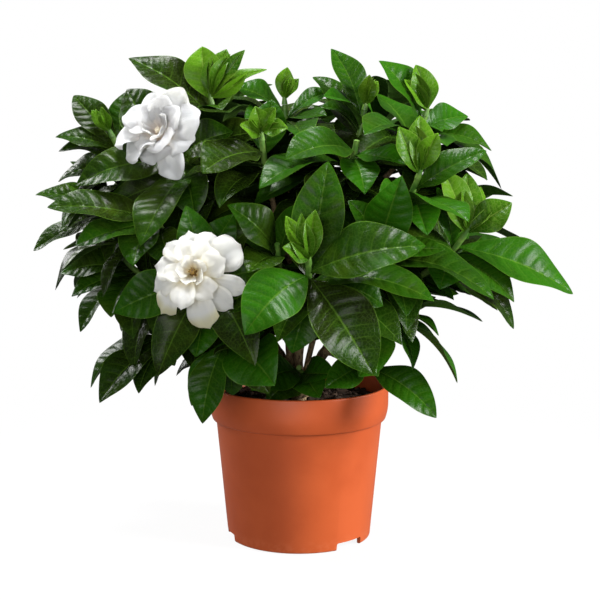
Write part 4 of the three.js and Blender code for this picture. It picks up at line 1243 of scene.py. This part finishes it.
def leaf_points(leaf, quilt, columns, rows, folded):
    """The rows and columns of a leaf's middle surface, its half thickness, and its shares."""
    u, across = grid(rows, columns)
    edge = np.abs(across)
    t = np.minimum(1, u + VEIN_LEAN * edge ** 1.35 * 4 * u * (1 - u) * (1 - 0.3 * u))
    half = leaf.width / 2 * fine_outline(t)
    ends = np.minimum(1, 7 * u) * np.minimum(1, 6 * (1 - u))
    sides = np.minimum(1, 6 * edge) * (1 - edge ** 3)
    swell = np.abs(np.sin(math.pi * VEINS * u)) ** 0.75
    lift = quilt * leaf.length * (swell - QUILT_LEVEL) * sides * ends
    lift -= GROOVE_DEPTH * np.exp(-(edge / GROOVE_WIDTH) ** 2) * ends
    lift += LEAF_FOLD * half * BULGE * edge * (1 - edge) + folded * half * edge
    lift += spread(leaf.seed + 0.31, TWIST) * half * across * t
    petiole = np.clip(1 - t / PETIOLE_END, 0, 1)
    least = ROOT_HALF_WIDTH * np.clip(2 * petiole, 0, 1)
    points = leaf.at(t, across, fine_outline, LEAF_FOLD, lift, least)
    sideways = spread(leaf.seed + 0.53, BEND) * leaf.length * 4 * t * (1 - t)
    points += leaf.side * sideways[..., None]
    thick = (HALF_THICK - MARGIN_THINNER * edge ** 2) * (1 - petiole)
    thick += PETIOLE_THICK * np.sqrt(np.maximum(0, 1 - edge ** 2)) * petiole
    return points, thick, u, across


print("rows of points in a leaf:", VEINS * ROWS_PER_VEIN + 1)


# %% Close a blade
UPPER, UNDER = 0, 1  # numbers of the finishes


def blade_shape(points, thick, normal, u, across, rib=0.0, blunt=False):
    """A closed thin blade from the rows and columns of its middle surface."""
    rows, columns = points.shape[0] - 1, points.shape[1] - 1
    last = rows if blunt else rows - 1
    thick = thick.copy()
    if blunt:
        thick[-1] = 0
    inner = slice(1, columns)
    top = (points + normal * thick[..., None])[: last + 1]
    ridge = rib * np.exp(-(across / RIB_WIDTH) ** 2) * (1 - u) ** 0.5
    low = (points - normal * (thick + ridge)[..., None])[: last + (0 if blunt else 1), inner]
    share = np.stack([u, across * 0.5 + 0.5], -1)
    all_points = [top.reshape(-1, 3), low.reshape(-1, 3)]
    all_shares = [share[: last + 1].reshape(-1, 2), share[: low.shape[0], inner].reshape(-1, 2)]
    base = len(all_points[0])

    def above(i, j):
        return i * (columns + 1) + j

    def below(i, j):
        shared = j in (0, columns) or (blunt and i == last)
        return above(i, j) if shared else base + i * (columns - 1) + j - 1

    faces, finishes = [], []
    for i in range(last):
        for j in range(columns):
            faces.append([above(i, j), above(i, j + 1), above(i + 1, j + 1), above(i + 1, j)])
            faces.append([below(i, j), below(i + 1, j), below(i + 1, j + 1), below(i, j + 1)])
            finishes += [UPPER, UNDER]
    if not blunt:
        tip = base + len(all_points[1])
        all_points.append(points[rows, columns // 2][None])
        all_shares.append(np.array([[1.0, 0.5]]))
        for j in range(columns):
            faces.append([above(last, j), above(last, j + 1), tip])
            faces.append([below(last, j), tip, below(last, j + 1)])
            finishes += [UPPER, UNDER]
    faces.append([above(0, j) for j in range(columns, -1, -1)] + [below(0, j) for j in range(1, columns)])
    finishes.append(UPPER)
    return np.concatenate(all_points), faces, finishes, np.concatenate(all_shares)


def add_leaf(shape, leaf, quilt, tone, shaded=False, folded=0.0):
    columns = SHADE_COLUMNS if shaded else LEAF_COLUMNS
    rows = VEINS * (SHADE_ROWS_PER_VEIN if shaded else ROWS_PER_VEIN)
    points, thick, u, across = leaf_points(leaf, quilt, columns, rows, folded)
    points, faces, finishes, shares = blade_shape(points, thick, leaf.normal, u, across, RIB_DEPTH)
    shape.add(points, faces, finishes, shares, tone)


print("faces in a leaf:", 2 * VEINS * ROWS_PER_VEIN * (len(LEAF_COLUMNS) - 1))

# %% [markdown]
# ### The leaf's finish
# Above, the leaf is deep green and waxed, with a paler midrib and faint pale veins. The tone differs
# from leaf to leaf: old leaves are nearly black-green with olive patches, and those near a tip are
# fresher. Below, a leaf is paler and dull. The shares along and across the blade come from its UV map,
# so the colour of the veins lies exactly in the grooves of the mesh. The shine is smooth but weak. A
# strong one would lay grey haze over the whole blade, and a real one only shows narrow streaks. Light
# that falls through a leaf is faked by a small share of a translucent shader, which costs less than
# true scattering.

# %% A helper for leaf finishes
LEAF_SHINE = 0.075
NET_SHARE, VEIN_SHARE, RIB_SHARE, MARGIN_SHARE = 0.14, 0.15, 0.45, 0.5
OLD_OLIVE = 0.6  # how olive the patches of the oldest leaves are
UNEVEN_GLOSS = 0.12


def leaf_finish(name, deep, fresh, olive, vein, roughness, through, coat):
    made = Finish(name, Specular_IOR_Level=LEAF_SHINE, Coat_Weight=coat, Coat_Roughness=0.12)
    _, along, off_rib = made.blade()
    to_vein = made.math("PINGPONG", made.math("MULTIPLY", along, float(VEINS)), 0.5)
    in_vein = made.math("MULTIPLY", made.band(to_vein, 0.10, 0.01), made.band(off_rib, 0.46, 0.2))
    in_rib = made.band(off_rib, 0.024, 0.008)
    in_margin = made.band(off_rib, 0.478, 0.494)
    cells = made.add("TexVoronoi", {"feature": "DISTANCE_TO_EDGE"}, Vector=made.place(), Scale=430.0)
    net = made.band(cells.outputs["Distance"], 0.12, 0.0)
    tone = made.tone()
    mottle = made.math("MULTIPLY", made.math("SUBTRACT", made.noise(45.0, 3.0), 0.5), 0.9)
    # a leaf is drawn darker towards its base and lighter towards its tip: painted shade where the leaves
    # crowd round the stem
    painted_base_shade = made.math("MULTIPLY", made.math("SUBTRACT", along, 0.5), 0.35)
    body = made.between(made.math("ADD", tone, made.math("ADD", mottle, painted_base_shade), True), deep, fresh)
    aged = made.math("SUBTRACT", OLD_OLIVE, made.math("MULTIPLY", tone, OLD_OLIVE))
    patches = made.band(made.noise(30.0, 2.0), 0.5, 0.75)
    colour = made.between(made.math("MULTIPLY", patches, aged), body, olive)
    pale = ((net, NET_SHARE), (in_vein, VEIN_SHARE), (in_rib, RIB_SHARE), (in_margin, MARGIN_SHARE))
    for where, strength in pale:
        colour = made.between(made.math("MULTIPLY", where, strength), colour, vein)
    gloss = made.math("MULTIPLY_ADD", made.noise(90.0, 3.0), UNEVEN_GLOSS)
    gloss.node.inputs[2].default_value = roughness - UNEVEN_GLOSS / 2
    made.join(made.math("ADD", gloss, made.math("MULTIPLY", tone, 0.10)), made.shader.inputs["Roughness"])
    made.paint(colour, made.bump(net, -0.00015, 0.35))
    made.blend(through, made.add("BsdfTranslucent", Color=colour))
    return made


print("a leaf's shine:", LEAF_SHINE)

# %% The leaf finishes
LEAF_FINISHES = {
    # colours of old and new leaves, of olive patches and of veins, then roughness, light through, coat
    "leaf_upper": [(0.008, 0.015, 0.0015), (0.014, 0.082, 0.001), (0.038, 0.066, 0.003),
                   (0.08, 0.17, 0.015), 0.25, 0.08, 0.03],
    "leaf_under": [(0.018, 0.045, 0.006), (0.045, 0.12, 0.010), (0.060, 0.10, 0.010),
                   (0.11, 0.20, 0.05), 0.55, 0.08, 0.0],
    "young_upper": [(0.014, 0.068, 0.0015), (0.086, 0.225, 0.006), (0.12, 0.205, 0.008),
                    (0.28, 0.42, 0.07), 0.27, 0.22, 0.05],
    "young_under": [(0.03, 0.10, 0.005), (0.11, 0.22, 0.015), (0.12, 0.20, 0.015),
                    (0.24, 0.36, 0.07), 0.45, 0.22, 0.0],
}
STEM_DARK, STEM_LIGHT = (0.06, 0.16, 0.02), (0.16, 0.28, 0.05)
GREEN_STEM = 2  # the third finish of a shoot, after those of its leaves' upper and under sides

leaf_upper, leaf_under, young_upper, young_under = (
    leaf_finish(name, *row) for name, row in LEAF_FINISHES.items())
green_stem = Finish("green_stem", Roughness=0.45)
stem_share = green_stem.band(green_stem.noise(140.0, 3.0), 0.35, 0.7)
stem_bump = green_stem.bump(green_stem.noise(700.0, 2.0), 0.0002, 0.5)
green_stem.paint(green_stem.between(stem_share, STEM_DARK, STEM_LIGHT), stem_bump)
print("leaf finishes:", list(LEAF_FINISHES))

# %% [markdown]
# ### Dressing the shoots
# Each leafy shoot is one piece: its green stem and its leaves. Age runs down the stem, so a leaf's
# tone is freshest at the tip. The shoots on the right are drawn fresher and those on the left darker,
# partly as real leaves in the sun are and partly as painted shade on the side away from the key lamp.
# Chance would put a pale leaf where the photo shows a dark one, so the tones of the leaves that stand
# out are given one by one. These given tones hold each leaf's own green together with painted light
# and shade. A flower's shoot also carries the calyx, a green ribbed cup.

# %% How fresh each leaf is, with painted light and shade
TONE_NEWEST, TONE_STEP, TONE_SPREAD = 0.60, 0.06, 0.30
SIDE_FRESHNESS_AND_SHADE = 0.48  # how much fresher the shoots on the right are and darker those on the left, partly painted shade
CROWN_WIDTH = 150  # half the shrub's width
# each given tone holds the leaf's own green and also painted light and shade: dark where a leaf lies in
# shade, fresh where it shines
GIVEN_TONES_AND_PAINTED_LIGHT = {
    # of single leaves that the photo shows plainly, by their order among the chosen leaves
    "top_left": {0: 0.3, 1: 0.0}, "upper_left_centre": {0: 0.05}, "left_upper": {1: 0.1},
    "under_flower_1": {0: 0.1, 3: 0.1}, "left_middle": {0: 0.1, 1: 0.45},
    "centre_front": {0: 0.4, 1: 0.85, 2: 0.1, 3: 0.4}, "upper_centre": {0: 0.55},
    "under_flower_2": {1: 0.5, 4: 0.6}, "low_front_left": {0: 0.5, 2: 0.75},
    "right": {0: 0.85, 4: 0.1}, "right_centre": {0: 0.6},
}


def leaf_tone(shoot, leaf):
    """How fresh a leaf's green is drawn, from 0 for an old leaf to 1 for a new one, with painted shade."""
    # fresher on the right and darker on the left: partly the leaves' own age, partly painted shade away
    # from the key lamp
    side_freshness_and_shade = SIDE_FRESHNESS_AND_SHADE * shoot.end[0] / CROWN_WIDTH
    usual = TONE_NEWEST + side_freshness_and_shade - TONE_STEP * leaf.age + spread(leaf.seed + 0.5, TONE_SPREAD)
    return GIVEN_TONES_AND_PAINTED_LIGHT.get(shoot.name, {}).get(leaf.age, min(1.0, max(0.0, usual)))


tones = [leaf_tone(shoot, leaf) for shoot in shoots.values() for leaf in shoot.leaves]
print("the mean tone of a leaf:", round(sum(tones) / len(tones), 2))

# %% A helper for shoots
SHOOT_RADII = (2.2, 1.87)
CALYX_RADIUS, CALYX_SINK = 3.4, 2


def make_shoot(shoot):
    shape = Shape()
    start = shoot.branch.green_start
    points, faces = stem(shoot.branch, start, 1, SHOOT_RADII, 22, 12, lumps=0.06, knots=0.25)
    shape.add(points, faces, GREEN_STEM)
    if shoot.name in TOWARDS:
        cup = Line(shoot.end - shoot.direction * CALYX_SINK, shoot.direction, CALYX_LENGTH + CALYX_SINK)
        points, faces = stem(cup, 0, 1, (SHOOT_RADII[0], CALYX_RADIUS), 12, 24, lumps=0.1)
        shape.add(points, faces, GREEN_STEM)
    for leaf in shoot.leaves:
        add_leaf(shape, leaf, QUILT, leaf_tone(shoot, leaf), leaf.age == SHADE_AGE)
    finishes = [leaf_upper, leaf_under, green_stem]
    return make_piece(shoot.name + "_leaves", shape, finishes, "leaf", "shoot_" + shoot.name)


print("shoots that carry a flower:", list(TOWARDS))

# %% [markdown]
# ### Tufts of young leaves
# A growing tip holds a few pale leaves that have just opened, and between them narrower ones that are
# still half folded along their midrib. The frame has only the open ones. Each folded one is a blade
# that reaches between two open neighbours, so a tuft keeps its outline and gets fuller inside.

# %% Make the shoots and their tufts
TUFT_STEM_RADII = (2.2, 1.3)
FOLDED = 5  # half folded leaves in each tuft
FOLDED_SIZE, FOLDED_SIZE_SPREAD = 0.82, 0.18
FOLDED_WIDTH, FOLDED_TURN, FOLDED_MORE = 0.30, 60, 0.6
YOUNG_QUILT, FOLDED_QUILT = 0.5 * QUILT, 0.3 * QUILT
YOUNG_TONE, FOLDED_TONE, YOUNG_TONE_SPREAD = 0.5, 0.6, 0.4


def folded_leaves(shoot):
    """Narrow leaves, still half folded, that stand between the tuft's larger ones."""
    made = []
    for k in range(FOLDED * (len(shoot.tuft) > 1)):
        seed = shoot.end[0] * 0.19 + 3.7 * k
        first, second = shoot.tuft[k % len(shoot.tuft)], shoot.tuft[(k + 1) % len(shoot.tuft)]
        share = 0.5 + spread(seed, 0.3)
        reach = first.reach * (1 - share) + second.reach * share
        reach = reach * (FOLDED_SIZE + spread(seed + 0.1, FOLDED_SIZE_SPREAD))
        facing = turned(first.normal, unit(reach), spread(seed + 0.2, FOLDED_TURN))
        root = shoot.end + shoot.direction * (GAP + TUFT_STEM_LENGTH + 0.7 * k)
        width = FOLDED_WIDTH * np.linalg.norm(reach)
        made.append(Blade(root, reach, facing, width, 2 * TUFT_ARCH, seed))
    return made


def make_tuft(shoot):
    shape = Shape()
    length = TUFT_STEM_LENGTH + TUFT_STEP * len(shoot.tuft)
    stub = Line(shoot.end + shoot.direction * GAP, shoot.direction, length)
    points, faces = stem(stub, 0, 1, TUFT_STEM_RADII, 4, 12)
    shape.add(points, faces, GREEN_STEM)
    for leaf in shoot.tuft:
        add_leaf(shape, leaf, YOUNG_QUILT, YOUNG_TONE + spread(leaf.seed + 0.5, YOUNG_TONE_SPREAD))
    for leaf in folded_leaves(shoot):
        tone = FOLDED_TONE + spread(leaf.seed + 0.5, YOUNG_TONE_SPREAD)
        add_leaf(shape, leaf, FOLDED_QUILT, tone, folded=FOLDED_MORE)
    finishes = [young_upper, young_under, green_stem]
    return make_piece(shoot.name + "_young_leaves", shape, finishes, "young_leaf", "tuft_" + shoot.name)


for shoot in shoots.values():
    make_shoot(shoot)
    if shoot.tuft:
        make_tuft(shoot)

# %% [markdown]
# ## The flowers
# A double gardenia has three rings of thick, waxy petals that overlap in a spiral. The outer ones lie
# open and roll back at their margins, the inner ones stand up and fold round the heart. Each petal is
# a fine sheet on its blade, with a rolled margin and slow waves. Its end is round on the upper flower
# and squared with a small point on the lower one. A cloth simulation could crumple petals too, but
# waves along and across each sheet are quick, and they stay where they are put.

# %% Shape a petal
PETAL_ROWS = 22
PETAL_COLUMNS = np.linspace(-1, 1, 19)
END_TAPER, POINTED_TAPER = 0.32, 0.12
ROUND_END = 0.30
POINT_LEAST, POINT_MORE = 0.02, 0.12
WAVE, CROSS_WAVE, PLEATS = 0.065, 0.04, 0.008  # shares of the petal's width
ROLL, CUP = 0.10, 0.10  # the margin rolls back, the inner petals are cupped
PETAL_THICK, PETAL_THINNER = 0.40, 0.2


def add_petal(shape, petal, pointed, fullness, aged):
    """pointed goes from 0, a round petal, to 1, one with a squared end and a small point."""
    def outline(t):
        return petal_swell(t) * (1 - (END_TAPER + POINTED_TAPER * pointed) * t ** 7)

    u, across = grid(PETAL_ROWS, PETAL_COLUMNS)
    edge = np.abs(across)
    round_end = ROUND_END * edge ** 3.6 * (1 - pointed)
    point = POINT_LEAST + POINT_MORE * draw(petal.seed + 0.41)
    square_end = pointed * (point * np.minimum(edge * 2.2, 1) ** 0.8 + 0.12 * edge ** 5)
    t = u * (1 - (round_end + square_end) * u ** 2)
    phase = 6.3 * draw(petal.seed + 0.2)
    waves = WAVE * np.sin(9 * u + phase + 2.4 * np.sign(across)) * edge ** 2.2 * u
    waves += CROSS_WAVE * np.sin(5 * across + 2 * phase) * u ** 3
    pleats = PLEATS * np.sin(13 * across + phase) * np.sin(math.pi * u) ** 0.5
    roll = -ROLL * np.maximum(0, edge - 0.55) ** 2 * 4 * u - ROLL * np.maximum(0, u - 0.7) ** 2 * 8
    cup = CUP * edge ** 2 * (petal.age > 0.5)
    lift = petal.width * (waves + pleats + roll * (petal.age < 1.5) + cup)
    least = np.full(t.shape, ROOT_HALF_WIDTH)
    points = petal.at(t, across * fullness, outline, PETAL_FOLD, lift, least)
    thick = PETAL_THICK - PETAL_THINNER * edge ** 2
    points, faces, _, shares = blade_shape(points, thick, petal.normal, u, across, blunt=True)
    shape.add(points, faces, 0, shares, aged)


print("points across a petal:", len(PETAL_COLUMNS))

# %% [markdown]
# White petals are never pure white. They are creamy at the heart and scatter light inside, so their
# shadows stay soft. The cream there is painted a little lighter than it is, as painted light in the
# deep hollow. Margins brown in spots as they age, and on a few petals the whole end has turned.
# The petal's own tone says which ones these are. The fine lines along a petal are a bump, stretched
# along its UV map.

# %% The petal finish
PETAL_GLOW = 0.45  # the share of light that falls through


def petal_finish(name, white, heart, aged, browning):
    made = Finish(name, Roughness=0.5, Specular_IOR_Level=0.25, Subsurface_Weight=0.6,
                  Subsurface_Scale=0.006, Subsurface_Radius=(1.0, 0.95, 0.8))
    where, along, off_middle = made.blade()
    # creamy towards the heart: the petals' own cream, painted a little lighter as painted light in the
    # hollow
    body = made.between(made.band(along, 0.65, 0.05), white, heart)
    end = made.math("MULTIPLY", made.band(along, 0.72, 0.92), made.band(made.tone(), 0.45, 0.75))
    spots = made.band(made.noise(45.0, 3.0), 0.54, 0.70)
    margin = made.math("MULTIPLY", made.band(off_middle, 0.45, 0.5), spots)
    age = made.math("MULTIPLY", made.math("MAXIMUM", end, margin), browning)
    colour = made.between(age, body, aged)
    stretched = made.add("Mapping", Vector=where, Scale=(1.5, 26.0, 1.0))
    lines = made.noise(2.2, 3.0, stretched.outputs[0])
    made.paint(colour, made.bump(lines, 0.0005, 0.5))
    made.blend(PETAL_GLOW, made.add("BsdfTranslucent", Color=colour))
    return made


petal_finishes = {
    "flower_1": petal_finish(
        "petal_white", (0.86, 0.86, 0.855), (0.97, 0.87, 0.75), (0.74, 0.70, 0.40), 0.15),
    "flower_2": petal_finish(
        "petal_cream", (0.97, 0.965, 0.925), (0.98, 0.87, 0.54), (0.84, 0.80, 0.50), 0.8),
}
print("petal finishes:", [made.material.name for made in petal_finishes.values()])

# %% [markdown]
# The eye of the flower is its stigma, a ribbed club, with the anthers curled round it. The lower
# flower is fully open and its eye has turned golden brown. The upper one is younger, and its eye is
# still as creamy as the petals. Petals and eye are separate pieces, because they are in the frame.

# %% A helper for flowers
HEART_LENGTH, HEART_RADII = 6, (3.4, 2.8)  # the base that carries the petals, in the eye's finish
# the base takes the eye's finish: on the lower flower its golden brown is painted shade of the hollow round
# the eye
HEART_EYE_AND_SHADE_FINISH = 1
POINTED = {"flower_1": 0.0, "flower_2": 1.0}
AGED = {"flower_1": (8,), "flower_2": (5, 6)}  # the petals whose ends have browned
FULLER = {"flower_1": 1.12, "flower_2": 1.0}  # how much wider than their blades the petals are


def eye_finish(name, dark, light):
    made = Finish(name, Roughness=0.6)
    colour = made.between(made.band(made.noise(900.0, 3.0), 0.35, 0.65), dark, light)
    made.paint(colour, made.bump(made.noise(1600.0, 3.0), 0.0003, 0.8))
    return made


eye_finishes = {
    "flower_1": eye_finish("creamy_stigma", (0.80, 0.70, 0.52), (0.88, 0.81, 0.66)),
    # golden brown, partly the aged stigma's own colour and partly painted shade of the hollow; it also
    # colours the heart's base
    "flower_2": eye_finish("golden_stigma", (0.10, 0.045, 0.006), (0.32, 0.19, 0.025)),
}


def make_flower(name):
    seat, axis, petals = flowers[name]
    shape = Shape()
    shape.add(*stem(Line(seat, axis, HEART_LENGTH), 0, 1, HEART_RADII, 4, 20), HEART_EYE_AND_SHADE_FINISH)
    for k, petal in enumerate(petals):
        add_petal(shape, petal, POINTED[name], FULLER[name], float(k in AGED[name]))
    finishes = [petal_finishes[name], eye_finishes[name]]
    return make_piece(name + "_petals", shape, finishes, "petal", name)


print("petals with browned ends:", AGED)

# %% Make the flowers and their eyes
CLUB_LENGTH, CLUB_RADII = 5.5, (1.2, 1.7)
ANTHERS = 5
ANTHER_ROOT, ANTHER_OUT, ANTHER_RISE, ANTHER_WIDTH, ANTHER_ARCH = 1.2, 2.7, 4, 2.0, 0.1
ANTHER_THICK, ANTHER_THINNER = 0.4, 0.6


def make_eye(name):
    seat, axis, _ = flowers[name]
    foot = seat + axis * (HEART_LENGTH + GAP)
    shape = Shape()
    shape.add(*stem(Line(foot, axis, CLUB_LENGTH), 0, 1, CLUB_RADII, 14, 18, lumps=0.35))
    across = unit(np.cross(axis, UP))
    for k in range(ANTHERS):
        out = turned(across, axis, 360 * k / ANTHERS)
        reach = out * ANTHER_OUT + axis * ANTHER_RISE
        anther = Blade(foot + axis * ANTHER_ROOT, reach, axis, ANTHER_WIDTH, ANTHER_ARCH, k)
        u, over = grid(8, np.linspace(-1, 1, 7))
        points = anther.at(u, over, leaf_outline, 0)
        thick = ANTHER_THICK * (1 - ANTHER_THINNER * over ** 2)
        points, faces, _, shares = blade_shape(points, thick, anther.normal, u, over)
        shape.add(points, faces, 0, shares)
    return make_piece(name + "_eye_club", shape, [eye_finishes[name]], "eye", name + "_eye")


for name in flowers:
    make_flower(name)
    make_eye(name)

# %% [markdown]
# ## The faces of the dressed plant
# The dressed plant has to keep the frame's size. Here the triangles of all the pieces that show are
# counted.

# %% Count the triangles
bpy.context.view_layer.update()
triangles = sum(sum(len(p.vertices) - 2 for p in piece.data.polygons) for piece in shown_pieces())
print("triangles:", triangles)
